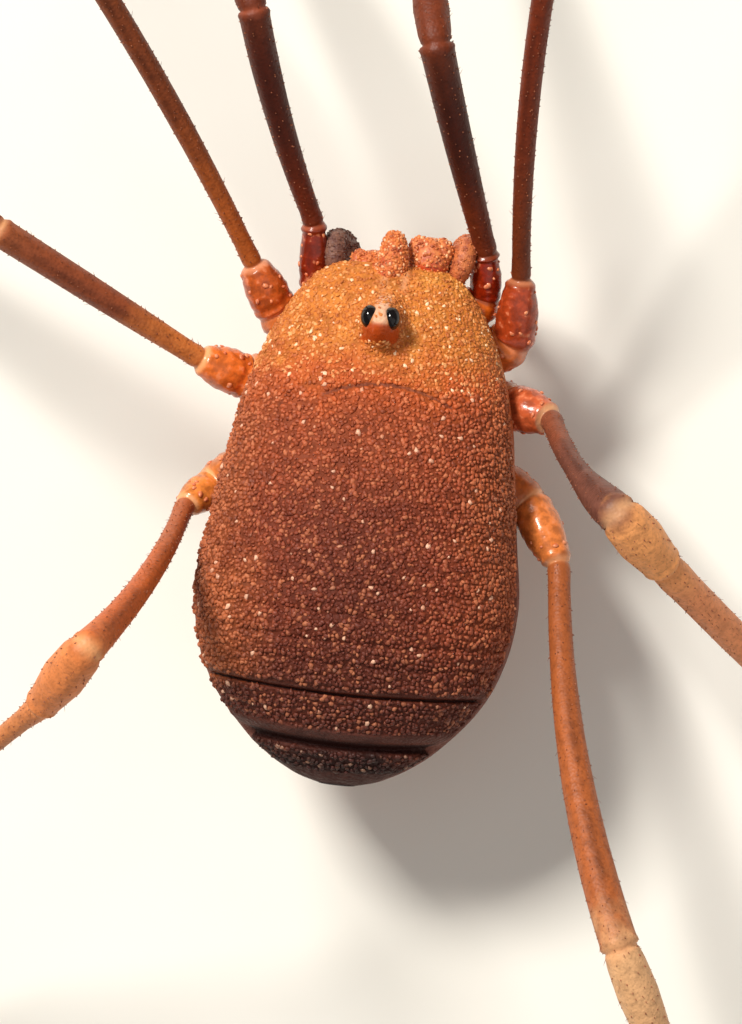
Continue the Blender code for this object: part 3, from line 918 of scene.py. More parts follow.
@dataclass(frozen=True)
class BodyShape:
    """The hide of head and abdomen in one surface, with its folds and the eye mound."""

    front: float = -3.86
    rear: float = 3.80
    bulge: tuple[float, float] = (0.04, 0.02)
    power: float = 2.25
    # Place, half width, top, widest level and belly, from front to rear.
    stations: tuple = (
        (-3.86, 0.80, 3.38, 3.14, 2.92), (-3.76, 0.99, 3.56, 3.12, 2.74), (-3.50, 1.26, 3.80, 3.10, 2.48),
        (-3.00, 1.57, 4.12, 3.08, 2.20), (-2.40, 1.82, 4.34, 3.10, 2.02), (-1.80, 1.99, 4.50, 3.14, 1.90),
        (-1.00, 2.12, 4.74, 3.20, 1.80), (0.00, 2.26, 4.93, 3.26, 1.75), (1.00, 2.39, 5.00, 3.30, 1.74),
        (1.80, 2.28, 4.90, 3.30, 1.84), (2.40, 2.04, 4.66, 3.28, 2.02), (3.00, 1.58, 4.24, 3.24, 2.30),
        (3.40, 1.14, 3.84, 3.20, 2.58), (3.60, 0.82, 3.64, 3.18, 2.78), (3.74, 0.50, 3.46, 3.16, 2.92),
        (3.80, 0.27, 3.34, 3.15, 2.99),
    )
    head_seam: Crease = Crease(-2.05, 0.034, 0.045, 0.27, -0.2, 1.1)
    # Place, depth, width and bow of each crease across the back.
    creases: tuple[Crease, ...] = (
        Crease(-0.95, 0.018, 0.10, 0.03), Crease(0.05, 0.018, 0.10, 0.0),
        Crease(0.98, 0.022, 0.10, -0.02), Crease(1.36, 0.026, 0.05, -0.02), Crease(1.76, 0.036, 0.05, -0.03),
        Crease(2.08, 0.026, 0.045, -0.032),
        Crease(2.36, -0.03, 0.06, -0.034), Crease(2.50, 0.10, 0.026, -0.034),
        Crease(3.06, -0.03, 0.045, -0.05), Crease(3.24, 0.17, 0.065, -0.055),
        Crease(3.40, -0.02, 0.05, -0.08),
    )
    # Start, end and bow of each smooth border of a rear plate.
    smooth_bands: tuple[tuple[float, float, float], ...] = (
        (2.435, 2.535, -0.034), (3.03, 3.32, -0.053), (3.62, 3.80, -0.10),
    )
    mound_place: tuple[float, float] = (0.0, -2.98)
    mound_reach: tuple[float, float] = (0.31, 0.40)
    mound_height: float = 0.68
    # Distance from the mound's middle against height, in shares of its reach and height.
    mound_profile: Profile = (
        (0.0, 1.0), (0.20, 0.995), (0.32, 0.965), (0.46, 0.885), (0.62, 0.76), (0.76, 0.60),
        (0.88, 0.42), (0.98, 0.25), (1.10, 0.12), (1.30, 0.035), (1.60, 0.005), (2.0, 0.0),
    )
    eye_place: Triple = (0.16, -3.0, 4.62)
    eye_radii: Triple = (0.13, 0.17, 0.165)
    brow_ridges: tuple[float, float] = (-0.08, 0.15)

    def outline(self, y: Array) -> tuple[Array, Array, Array, Array]:
        """Half width, top, widest level and belly at places along the body."""
        rows = smooth_rows(self.stations, y)
        return rows[..., 0], rows[..., 1], rows[..., 2], rows[..., 3]

    def margin(self, y: Array) -> Array:
        """How far up the section, as the sine of its angle, the hard back plate ends."""
        return 0.16 + 0.08 * ramp(y, -0.5, 0.5)

    def sink(self, x: Array, y: Array, up: Array) -> Array:
        """How far the folds lower the hide.

        Bell curves across the back are its creases. On the flank one sits under the
        plate's rolled edge, and the belly has a crease between each pair of rings.
        """
        edge = self.margin(y)
        over = ramp(up, 0.02, 0.25)
        sink = self.head_seam.sink(x, y) * over
        for crease in self.creases:
            sink = sink + crease.sink(x, y) * over
        flank = ramp(y, -1.3, -0.6) * ramp(y, 3.1, 2.5)
        sink = sink + flank * (0.075 * bell(up, edge - 0.07, 0.035) - 0.03 * bell(up, edge, 0.04))
        sink = sink + flank * 0.018 * (bell(up, edge - 0.19, 0.03) + bell(up, edge - 0.3, 0.03))
        under = ramp(up, -0.25, -0.5) * ramp(y, 0.3, 0.6)
        sink = sink + under * 0.035 * (0.5 + 0.5 * np.cos(TURN * y / 0.56)) ** 6
        middle, apart = self.brow_ridges
        brow = bell(np.abs(x - middle), apart, 0.05) * ramp(y, -3.42, -3.52) * ramp(up, 0.3, 0.6)
        return sink - 0.045 * brow

    def bare(self, along: Array, turn: Array) -> tuple[Array, Array]:
        """The section's point before the mound, and the sine of its angle.

        x = w c^(2/p) and z = edge + h s^(2/p), with c and s the cosine and sine of
        the turn, pushed in by the folds across the section. Past the first and the
        last station the section shrinks like a cosine into a shallow cap.
        """
        before = np.clip(self.front - along, 0.0, 1.0)
        behind = np.clip(along - self.rear, 0.0, 1.0)
        shrink = np.cos(0.25 * TURN * (before + behind))
        y = np.clip(along, self.front, self.rear)
        y = y - self.bulge[0] * np.sin(0.25 * TURN * before) + self.bulge[1] * np.sin(0.25 * TURN * behind)
        half_width, top, edge, belly = self.outline(y)
        across, up = np.cos(turn), np.sin(turn)
        height = np.where(up > 0, top - edge, edge - belly)
        x = half_width * signed_power(across, 2.0 / self.power)
        rise = height * signed_power(up, 2.0 / self.power)
        lean = unit(np.stack([across / half_width, up / np.maximum(height, 0.05)], axis=-1))
        sink = self.sink(x, y, up)
        x = (x - sink * lean[..., 0]) * shrink
        z = edge + (rise - sink * lean[..., 1]) * shrink
        return np.stack([x, y, z], axis=-1), up

    def mound(self, points: Array, up: Array) -> Array:
        """Raise the eye mound out of the hide.

        Within the mound's reach the distance q from its middle is drawn out along
        the mound's profile, so that the grid keeps even steps up its steep sides.
        """
        profile = np.array(self.mound_profile)
        run = run_of(profile * (0.34, self.mound_height))
        away = points[..., :2] - self.mound_place
        q = np.linalg.norm(away / self.mound_reach, axis=-1)
        near = (q < profile[-1, 0]) & (up > 0)
        share = np.clip(q / profile[-1, 0], 0.0, 1.0) * run[-1]
        drawn = np.interp(share, run, profile[:, 0])
        rise = np.interp(share, run, profile[:, 1]) * self.mound_height
        moved = away * (drawn / np.maximum(q, 1e-9))[..., None] + self.mound_place
        half_width, top, edge, _ = self.outline(moved[..., 1])
        level = np.clip(1.0 - np.abs(moved[..., 0] / half_width) ** self.power, 0.0, 1.0)
        ground = edge + (top - edge) * level ** (1.0 / self.power)
        raised = np.concatenate([moved, (ground + rise)[..., None]], axis=-1)
        return np.where(near[..., None], raised, points)

    def sockets(self, points: Array) -> Array:
        """Wrap the mound round the eyes.

        With the distance from an eye's middle measured in its radii, a point just
        outside the eye is pushed away as a lid's rim.
        """
        for side in Side:
            away = points - side.mirrored(self.eye_place)
            reach = np.linalg.norm(away / self.eye_radii, axis=-1)
            rim = 0.022 * bell(reach, 1.06, 0.2)
            points = points + unit(away) * np.where(reach < 1.8, rim, 0.0)[..., None]
        return points

    def surface(self, along: Array, turn: Array) -> Array:
        """Points of the finished hide."""
        points, up = self.bare(along, turn)
        return self.sockets(self.mound(points, up))

    def lean(self, along: Array, turn: Array) -> tuple[Array, Array, Array]:
        """Points of the hide with their outward and rearward directions."""
        step = 0.004
        points = self.surface(along, turn)
        rearward = self.surface(along + step, turn) - self.surface(along - step, turn)
        round_it = self.surface(along, turn + step) - self.surface(along, turn - step)
        outward = unit(np.cross(rearward, round_it))
        return points, outward, unit(rearward)

    def bands(self, x: Array, y: Array) -> Array:
        """True on the smooth borders of the rear plates and in the seam behind the head."""
        found = self.head_seam.sink(x, y) > 0.024
        for low, high, bow in self.smooth_bands:
            line = y - bow * x * x
            found = found | ((line > low) & (line < high))
        return found


@dataclass
class Body:
    """Head and abdomen: the hide, its grains, the front knob and the eyes."""

    shape: BodyShape
    datum: Datum
    colours: BodyColours = field(default_factory=BodyColours)
    rings: int = 330
    # Middle, half width and weight of each stretch where the rings crowd together.
    ring_spots: tuple[Triple, ...] = (
        (-2.98, 0.5, 2.2), (2.5, 0.2, 1.5), (3.2, 0.3, 2.0), (3.6, 0.2, 1.5), (-2.0, 0.2, 0.6),
        (-3.86, 0.1, 2),
    )
    sides: int = 268
    head_pitch: float = 0.061
    back_pitch: float = 0.072
    knob_pitch: float = 0.05
    head_end: float = -2.02
    fore_end: float = 0.35
    kind: Granules = Granules()
    head_kind: Granules = Granules(girth=(0.28, 0.60), length=(1.0, 1.8), height=(0.16, 0.42), lean=0.26)
    knob_line: Limb = Limb(
        ((0.0, -3.45, 3.36), (0.0, -3.75, 3.44), (-0.01, -4.0, 3.47), (0.0, -4.2, 3.42),
         (0.02, -4.36, 3.34)),
        (0.24, 0.25, 0.215, 0.17, 0.11),
    )
    lobe_line: Limb = Limb(
        ((0.20, -3.50, 3.30), (0.17, -3.72, 3.38), (0.13, -3.92, 3.38), (0.09, -4.04, 3.32)),
        (0.14, 0.15, 0.13, 0.09),
    )

    def hide(self) -> Form:
        """The hide as one closed surface with its marks."""
        shape = self.shape
        caps = np.linspace(0.0, 0.97, 9)[1:]
        along = spread(shape.front, shape.rear, self.rings, self.ring_spots)
        along = np.concatenate([shape.front - caps[::-1], along, shape.rear + caps])
        quarter = 0.25 * TURN
        crowds = [(quarter, 0.24, 2.6), (0.5, 0.4, 0.4), (math.pi - 0.5, 0.4, 0.4)]
        turn = spread(0.0, TURN, self.sides + 1, crowds)[:-1]
        grid = np.meshgrid(along, turn, indexing="ij")
        points = shape.surface(*grid)
        x, y = points[..., 0], points[..., 1]
        up = np.sin(grid[1])
        plate = ramp(up, shape.margin(y) - 0.03, shape.margin(y) + 0.05)
        bands = shape.bands(x, y) * plate
        sink = sum(crease.sink(x, y) for crease in shape.creases)
        strip = ramp(np.abs(x + 0.01), 0.15, 0.07) * ramp(y, -2.80, -2.92) * ramp(y, -3.45, -3.3)
        slope = ramp(np.abs(x), 0.34, 0.24) * ramp(y, -2.94, -2.86) * ramp(y, -2.58, -2.68) * (up > 0)
        middle, apart = shape.brow_ridges
        brow = bell(np.abs(x - middle), apart, 0.06) * ramp(y, -3.38, -3.5) * (up > 0)
        marks = {
            "grained": plate * (1.0 - bands),
            "smooth": bands * (sink < 0.02),
            # Where the creases sink deepest, marked for painted shade.
            "crease_shade": ramp(sink, 0.03, 0.08) * plate,
            "pleura": (1.0 - plate) * ramp(y, -1.0, 0.2) * ramp(up, -0.6, -0.3),
            "pale": np.clip(strip * (up > 0) + 0.35 * brow, 0.0, 1.0),
            "slope": slope,
        }
        nose = np.array([0.0, shape.front - shape.bulge[0], points[0, :, 2].mean()])
        tail = np.array([0.0, shape.rear + shape.bulge[1], points[-1, :, 2].mean()])
        return loft(points, nose, tail, marks)

    def roots(self, low: float, high: float, pitch: float, rng: Chance) -> tuple[Array, Array]:
        """Places for grains in staggered, shaken rows over the back.

        Each row is a section of the hide, and its grains lie equal steps of arc
        length apart, from the left edge of the plate to the right.
        """
        rows = np.arange(low, high, 0.87 * pitch)
        fine = np.linspace(0.0, math.pi, 360)
        points = self.shape.surface(*np.meshgrid(rows, fine, indexing="ij"))
        steps = np.linalg.norm(np.diff(points, axis=1), axis=-1)
        arcs = np.concatenate([np.zeros((len(rows), 1)), np.cumsum(steps, axis=1)], axis=1)
        places, turns = [], []
        for number, (row, arc) in enumerate(zip(rows, arcs)):
            wanted = np.arange(0.25 + 0.5 * (number % 2), arc[-1] / pitch) * pitch
            shaken = wanted + rng.normal(0.0, 0.22 * pitch, len(wanted))
            turns.append(np.interp(shaken, arc, fine))
            places.append(row + rng.normal(0.0, 0.24 * pitch, len(wanted)))
        return np.concatenate(places), np.concatenate(turns)

    def grains(self, low: float, high: float, pitch: float, seed: int) -> Form:
        """Granules over one stretch of the back.

        Args:
            low: where the stretch begins.
            high: where it ends.
            pitch: the distance between granules.
            seed: the seed of their shaking.

        Returns:
            All the granules as one surface.
        """
        rng = np.random.RandomState(seed)
        shape = self.shape
        along, turn = self.roots(low, high, pitch, rng)
        points, outward, rearward = shape.lean(along, turn)
        x, y, z = points.T
        clear = np.sin(turn) > shape.margin(y) - 0.01
        clear &= ~shape.bands(x, y)
        for side in Side:
            away = points - side.mirrored(shape.eye_place)
            clear &= np.linalg.norm(away / shape.eye_radii, axis=1) > 1.3
        clear &= ~((np.abs(x) < 0.26) & (y > -2.88) & (y < -2.66))
        crest = (np.abs(x) < 0.12) & (z > 4.5) & (y < -2.8)
        clear &= ~crest | (rng.uniform(0.0, 1.0, len(x)) < 0.35)
        homes = np.stack([turn / TURN, (along + 4.9) / 9.8], axis=1)
        kind = self.head_kind if high <= self.head_end else self.kind
        return kind.strewn(points[clear], outward[clear], rearward[clear], homes[clear], pitch, rng)

    def eye(self, side: Side) -> Form:
        """One eyeball: an egg shape, x = a sin p cos t, y = -b cos p, z = c sin p sin t."""
        middle = side.mirrored(self.shape.eye_place)
        polar = np.linspace(0.0, 0.5 * TURN, 34)[1:-1]
        turn = np.arange(40) * TURN / 40
        ring = np.stack([
            np.sin(polar)[:, None] * np.cos(turn),
            np.repeat(-np.cos(polar)[:, None], len(turn), axis=1),
            np.sin(polar)[:, None] * np.sin(turn),
        ], axis=-1)
        pole = np.array([0.0, self.shape.eye_radii[1], 0.0])
        return loft(middle + ring * self.shape.eye_radii, middle - pole, middle + pole)

    def build(self, shop: Workshop) -> None:
        """Make every piece of the body."""
        hide = HideFinish(self.colours).material(self.datum)
        # In each grain finish the pale colour is partly painted highlight, and the last one is a painted
        # glint.
        head_grain = GrainFinish(
            "head_grain", self.colours, linear(248, 188, 124), linear(150, 64, 28),
            linear(255, 222, 184), lift=0.7, rare=0.962,
        ).material(self.datum)
        back_grain = GrainFinish(
            "back_grain", self.colours, linear(206, 126, 84), linear(78, 26, 14), linear(240, 190, 158),
        ).material(self.datum)
        shop.piece("hide", self.hide(), hide, ["cephalothorax", "abdomen"])
        head = self.grains(-3.84, self.head_end, self.head_pitch, SEED)
        shop.piece("head_grains", head, head_grain)
        fore = self.grains(self.head_end, self.fore_end, self.back_pitch, SEED + 1)
        shop.piece("fore_grains", fore, back_grain)
        rear = self.grains(self.fore_end, 3.62, self.back_pitch, SEED + 2)
        shop.piece("rear_grains", rear, back_grain)
        knob = PlainFinish(
            "front_knob", linear(214, 120, 58), linear(186, 78, 40), roughness=0.5, pitch=0.08, depth=0.02,
        )
        knobs = Form.joined([self.knob_line.form(), self.lobe_line.form()])
        shop.piece("front_knob", knobs, knob.material(self.datum))
        crumbs = MouthGrain("front_grain").material(self.datum)
        lines = (self.knob_line, self.lobe_line)
        rough = [line.grained(self.knob_pitch, self.kind, SEED + n) for n, line in enumerate(lines)]
        shop.piece("front_grains", Form.joined(rough), crumbs)
        gloss = PlainFinish(
            "eye_gloss", linear(5, 3, 3), linear(10, 4, 4), roughness=0.07, depth=0.0, sheen=0.38,
        )
        finish = gloss.material(self.datum)
        for side in Side:
            name = side.name.lower()
            shop.piece(f"eyeball_{name}", self.eye(side), finish, [f"eye_{name}"])


@dataclass(frozen=True)
class LegSizes:
    """Sizes that the left and right leg of one pair share."""

    coxa_root: Triple
    coxa_radii: Triple
    lengths: tuple[float, float, float, float, float]
    metatarsus: float
    tarsus: float
    toes: int
    claws: int


@dataclass(frozen=True)
class LegPose:
    """Where one leg bends, how its segments point and how thick they are.

    The coxa ends at the hip, and the femur starts at the neck. A bearing is measured
    from straight ahead, outwards, and a rise is the slope of a segment above the
    floor. The last two segments follow from the ground. The bow is how far the
    femur's middle lies off the straight line. The femur's profile is share against
    radius, and the others are a few radii in even steps.
    """

    hip: Triple
    neck: Triple
    girth: float
    bearings: tuple[float, float, float, float, float]
    rises: Triple
    bow: float
    femur: Profile
    patella: Triple
    tibia: tuple[float, float]


PAIRS = {
    1: LegSizes((0.75, -2.90, 2.40), (0.30, 0.31, 0.27), (3.9, 1.3, 3.0, 3.7, 5.0), 0.14, 0.10, 6, 1),
    2: LegSizes((0.95, -2.50, 2.30), (0.32, 0.36, 0.32), (6.6, 1.8, 5.6, 5.8, 10.0), 0.115, 0.085, 14, 1),
    3: LegSizes((0.85, -2.00, 2.24), (0.34, 0.39, 0.35), (3.9, 1.3, 3.1, 4.6, 5.6), 0.15, 0.11, 7, 2),
    4: LegSizes((0.55, -1.30, 2.22), (0.36, 0.42, 0.34), (6.2, 1.5, 4.4, 7.2, 7.6), 0.15, 0.11, 8, 2),
}

POSES = {
    (Side.LEFT, 1): LegPose(
        (1.16, -3.49, 2.62), (1.25, -4.41, 3.00), 0.235, (19.8, 22.5, 24, 28, 34), (41.3, -14.4, -45),
        -0.073,
        ((0, 0.165), (0.06, 0.15), (0.4, 0.18), (0.75, 0.21), (1, 0.225)), (0.21, 0.24, 0.22), (0.20, 0.17),
    ),
    (Side.LEFT, 2): LegPose(
        (1.72, -3.12, 2.66), (2.08, -3.71, 3.05), 0.32, (34.5, 34, 40, 46, 54), (38, -5, -38), 0.10,
        ((0, 0.15), (0.06, 0.135), (0.4, 0.155), (1, 0.17)), (0.165, 0.19, 0.17), (0.155, 0.13),
    ),
    (Side.LEFT, 3): LegPose(
        (2.05, -2.04, 2.66), (2.72, -2.23, 3.05), 0.335, (64.1, 66, 72, 78, 86), (35, -10, -45), 0.0,
        ((0, 0.175), (0.06, 0.16), (0.3, 0.18), (0.6, 0.20), (1, 0.216)), (0.21, 0.24, 0.22), (0.22, 0.18),
    ),
    (Side.LEFT, 4): LegPose(
        (2.38, -0.36, 2.66), (2.69, -0.03, 3.10), 0.275, (166.4, 141.8, 130.8, 136, 142),
        (67.7, -42.7, -42), -0.151,
        ((0, 0.155), (0.1, 0.14), (0.3, 0.155), (0.6, 0.18), (0.8, 0.205), (1, 0.25)), (0.26, 0.32, 0.25),
        (0.14, 0.14),
    ),
    (Side.RIGHT, 1): LegPose(
        (-1.38, -3.60, 2.64), (-1.33, -4.24, 3.00), 0.235, (-18.3, -15.5, -4, 4, 12), (43.6, -29, -45), 0.02,
        ((0, 0.18), (0.06, 0.165), (0.5, 0.21), (1, 0.25)), (0.22, 0.26, 0.23), (0.20, 0.17),
    ),
    (Side.RIGHT, 2): LegPose(
        (-1.87, -2.98, 2.66), (-1.89, -3.90, 3.05), 0.315, (2.2, 5, 18, 32, 48), (36, -5, -38), 0.167,
        ((0, 0.15), (0.06, 0.135), (0.4, 0.15), (1, 0.165)), (0.165, 0.19, 0.17), (0.155, 0.13),
    ),
    (Side.RIGHT, 3): LegPose(
        (-1.96, -2.03, 2.66), (-2.56, -1.88, 3.10), 0.34, (139.3, 131.8, 128.7, 132, 138),
        (61.2, -43.4, -45), -0.126,
        ((0, 0.175), (0.1, 0.155), (0.45, 0.16), (0.6, 0.19), (0.75, 0.245), (0.9, 0.285), (1, 0.285)),
        (0.29, 0.355, 0.30), (0.24, 0.22),
    ),
    (Side.RIGHT, 4): LegPose(
        (-2.36, -0.60, 2.66), (-2.90, 0.23, 3.00), 0.32, (164, 153.4, 152, 154, 160), (24.2, -24.8, -22),
        -0.24,
        ((0, 0.175), (0.06, 0.165), (0.25, 0.18), (0.45, 0.21), (0.6, 0.235), (0.8, 0.26), (1, 0.275)),
        (0.26, 0.30, 0.27), (0.21, 0.17),
    ),
}

LEG_COLOURS = {
    (Side.LEFT, 1): LegColours(
        linear(150, 50, 16), linear(126, 34, 10), linear(104, 38, 16), linear(78, 28, 14),
        linear(104, 44, 22), linear(112, 50, 28), linear(170, 84, 54),
    ),
    (Side.LEFT, 2): LegColours(
        linear(190, 98, 40), linear(190, 86, 31), linear(172, 88, 34), linear(130, 62, 28),
        linear(140, 74, 38), linear(124, 60, 32), linear(226, 150, 112),
    ),
    (Side.LEFT, 3): LegColours(
        linear(206, 112, 50), linear(226, 112, 42), linear(206, 120, 58), linear(150, 76, 44),
        linear(164, 88, 50), linear(140, 72, 42), linear(240, 176, 122),
    ),
    (Side.LEFT, 4): LegColours(
        linear(206, 116, 54), linear(226, 130, 56), linear(180, 94, 52), linear(196, 96, 44),
        linear(216, 128, 72), linear(196, 122, 72), linear(244, 184, 128), 2.86,
    ),
    (Side.RIGHT, 1): LegColours(
        linear(226, 108, 28), linear(142, 34, 6), linear(108, 42, 17), linear(72, 25, 12),
        linear(112, 48, 22), linear(124, 58, 30), linear(130, 60, 34),
    ),
    (Side.RIGHT, 2): LegColours(
        linear(206, 106, 46), linear(164, 60, 24), linear(106, 46, 20), linear(114, 44, 19),
        linear(118, 50, 28), linear(116, 54, 32), linear(216, 134, 92),
    ),
    (Side.RIGHT, 3): LegColours(
        linear(192, 98, 56), linear(192, 88, 48), linear(134, 72, 48), linear(114, 68, 54),
        linear(242, 162, 98), linear(224, 142, 94), linear(244, 184, 132), 2.97,
    ),
    (Side.RIGHT, 4): LegColours(
        linear(196, 102, 44), linear(222, 124, 60), linear(158, 84, 42), linear(172, 92, 46),
        linear(228, 174, 124), linear(206, 130, 80), linear(236, 166, 114), 2.84,
    ),
}


LEG_TRIMS = {
    "tubercle": PlainFinish(
        "hip_tubercle", linear(226, 142, 98), linear(190, 88, 48),
        roughness=0.34, coat=0.1, pitch=0.1, depth=0.004,
    ),
    "spine": PlainFinish(
        "leg_spine", linear(158, 92, 60), linear(112, 58, 36), roughness=0.45, pitch=0.3, depth=0.0,
    ),
    "horn": PlainFinish(
        "claw_horn", linear(92, 46, 24), linear(60, 26, 16),
        roughness=0.25, coat=0.4, pitch=0.1, depth=0.002,
    ),
}


@dataclass
class Leg:
    """One leg: a jointed shell from the body to the toe, with its spines, hairs and claws."""

    side: Side
    pair: int
    datum: Datum
    sides: int = 26
    # How far each joint is pinched, from the coxa's root to the tarsus.
    pinches: tuple[float, ...] = (0.0, 0.07, 0.10, 0.08, 0.08, 0.12, 0.10)
    foot_rise: float = 0.60
    neck_arch: float = 0.05
    foot_arch: float = 0.12
    step: float = 0.02
    # Reach and width, in steps, of the bell curve that rounds the line's corners.
    rounding: tuple[int, float] = (16, 7.0)
    floor: float = 0.0

    def __post_init__(self) -> None:
        """Work out the middle line and the places of the joints."""
        self.sizes = PAIRS[self.pair]
        self.pose = POSES[(self.side, self.pair)]
        self.name = f"{self.side.name.lower()}_{self.pair}"
        self.line, self.joints = self.middle_line()
        self.run = np.linspace(0.0, self.joints[-1], len(self.line))

    def heading(self, bearing: float, rise: float) -> Array:
        """The direction with a bearing from straight ahead, outwards, and a rise."""
        b, r = math.radians(bearing), math.radians(rise)
        return np.array([
            self.side.value * math.sin(b) * math.cos(r), -math.cos(b) * math.cos(r), math.sin(r),
        ])

    @staticmethod
    def bend(start: Array, control: Array, end: Array, count: int = 60) -> Array:
        """A curve that leaves ``start`` towards ``control`` and arrives at ``end``."""
        t = np.linspace(0.0, 1.0, count)[:, None]
        return (1 - t) ** 2 * start + 2 * t * (1 - t) * control + t**2 * end

    def foot(self, start: Array) -> Array:
        """The tarsus: it comes down in a short curve and lies along the floor.

        Its height above the floor falls like exp(-s / 0.45), and it turns slowly
        outwards as it goes.
        """
        length, bearing = self.sizes.lengths[4], self.pose.bearings[4]
        share = np.linspace(0.0, 1.0, 240) ** 1.15
        turned = np.radians(bearing + 8.0 * share)
        step = np.diff(share * length)
        x = start[0] + self.side.value * np.concatenate([[0], np.cumsum(step * np.sin(turned[1:]))])
        y = start[1] - np.concatenate([[0], np.cumsum(step * np.cos(turned[1:]))])
        lying = self.sizes.tarsus * (1.0 - 0.45 * share) * 0.97
        z = lying + (start[2] - lying[0]) * np.exp(-share * length / 0.45)
        return np.stack([x, y, z], axis=-1)

    def middle_line(self) -> tuple[Array, Array]:
        """The leg's middle line in even steps, with its corners rounded, and its joints.

        Returns:
            The line, and the arc length at the start of each segment and at the toe.
        """
        sizes, pose = self.sizes, self.pose
        root = self.side.mirrored(sizes.coxa_root)
        hip, neck = np.array(pose.hip), np.array(pose.neck)
        parts = [
            self.bend(root, 0.5 * (root + hip), hip),
            self.bend(hip, 0.5 * (hip + neck) + (0, 0, self.neck_arch), neck),
        ]
        start = neck
        for number in range(3):
            end = start + sizes.lengths[number] * self.heading(pose.bearings[number], pose.rises[number])
            bow = pose.bow if number == 0 else 0.0
            inwards = self.heading(pose.bearings[number] - 90.0, 0.0)
            parts.append(self.bend(start, 0.5 * (start + end) + inwards * 2.0 * bow, end))
            start = end
        drop = math.degrees(math.asin((self.foot_rise - start[2]) / sizes.lengths[3]))
        end = start + sizes.lengths[3] * self.heading(pose.bearings[3], drop)
        parts.append(self.bend(start, 0.5 * (start + end) + (0, 0, self.foot_arch), end))
        parts.append(self.foot(end))
        runs = [np.linalg.norm(np.diff(part, axis=0), axis=1).sum() for part in parts]
        joints = np.concatenate([[0.0], np.cumsum(runs)])
        whole = np.concatenate([parts[0]] + [part[1:] for part in parts[1:]])
        arc = run_of(whole)
        even = np.linspace(0.0, arc[-1], int(arc[-1] / self.step))
        line = read_line(even, arc, whole)
        reach, width = self.rounding
        kernel = bell(np.arange(-reach, reach + 1), 0.0, width)
        kernel /= kernel.sum()
        padded = np.pad(line, ((reach, reach), (0, 0)), mode="edge")
        smoothed = [np.convolve(padded[:, axis], kernel, mode="valid") for axis in range(3)]
        rounded = np.stack(smoothed, axis=-1)
        rounded[[0, -1]] = line[[0, -1]]
        return rounded, joints

    def at(self, s: Array) -> Array:
        """Points of the middle line at arc lengths."""
        return read_line(s, self.run, self.line)

    def stage(self, s: Array) -> Array:
        """The number of the segment at an arc length, plus the share of it that is passed."""
        return np.interp(s, self.joints, np.arange(len(self.joints)))

    def radius(self, s: Array) -> Array:
        """The leg's radius at arc lengths.

        Each segment has its own profile of share against radius. A bell curve pinches
        every joint, and a wider one flares the end of the segment before it.
        """
        sizes, pose = self.sizes, self.pose
        coxa, toe, heel, shin = sizes.coxa_radii, sizes.tarsus, sizes.metatarsus, pose.tibia
        hip, thigh, knee = pose.girth, pose.femur[0][1], pose.patella
        profiles = (
            ((0, coxa[0]), (0.5, coxa[1]), (0.85, coxa[1]), (0.98, 0.97 * coxa[2]), (1, coxa[2])),
            ((0, 0.98 * hip), (0.08, 1.03 * hip), (0.16, 0.97 * hip), (0.36, hip), (0.56, 0.95 * hip),
             (0.76, 0.80 * hip), (0.86, 0.7 * hip), (0.92, max(0.68 * hip, 1.16 * thigh)),
             (1, thigh * 1.05)),
            pose.femur,
            ((0, 0.95 * knee[0]), (0.15, 0.93 * knee[1]), (0.5, knee[1]), (0.85, knee[2]),
             (1, 0.92 * knee[2])),
            ((0, max(0.78 * knee[2], shin[0])), (0.1, 1.06 * shin[0]), (0.2, shin[0]), (0.6, 0.98 * shin[0]),
             (0.94, shin[1]), (1, 0.92 * shin[1])),
            ((0, heel * 1.05), (0.1, heel), (0.9, 0.85 * heel), (1, 0.8 * heel)),
            ((0, 0.95 * toe), (0.1, toe), (0.9, 0.62 * toe), (1, 0.45 * toe)),
        )
        stage = self.stage(s)
        tables = [np.array(rows) * (0.999, 1.0) + (number, 0.0) for number, rows in enumerate(profiles)]
        places, values = np.concatenate(tables).T
        radius = np.interp(stage, places, values)
        for number, joint in enumerate(self.joints[1:-1], start=1):
            width = 0.045 if number < 3 else 0.035
            depth = self.pinches[number]
            radius = radius * (1.0 - depth * bell(s, joint, width))
            radius = radius * (1.0 + 0.05 * bell(s, joint - 2.2 * width, 1.2 * width))
        return radius * (1.0 - 0.13 * self.toe_rings(s))

    def toe_rings(self, s: Array) -> Array:
        """The pinches between the tarsus's many small rings."""
        stage = self.stage(s) - Segment.TARSUS.value
        wave = 0.5 + 0.5 * np.cos(TURN * self.sizes.toes * stage)
        return np.where(stage > 0.0, wave**8, 0.0)

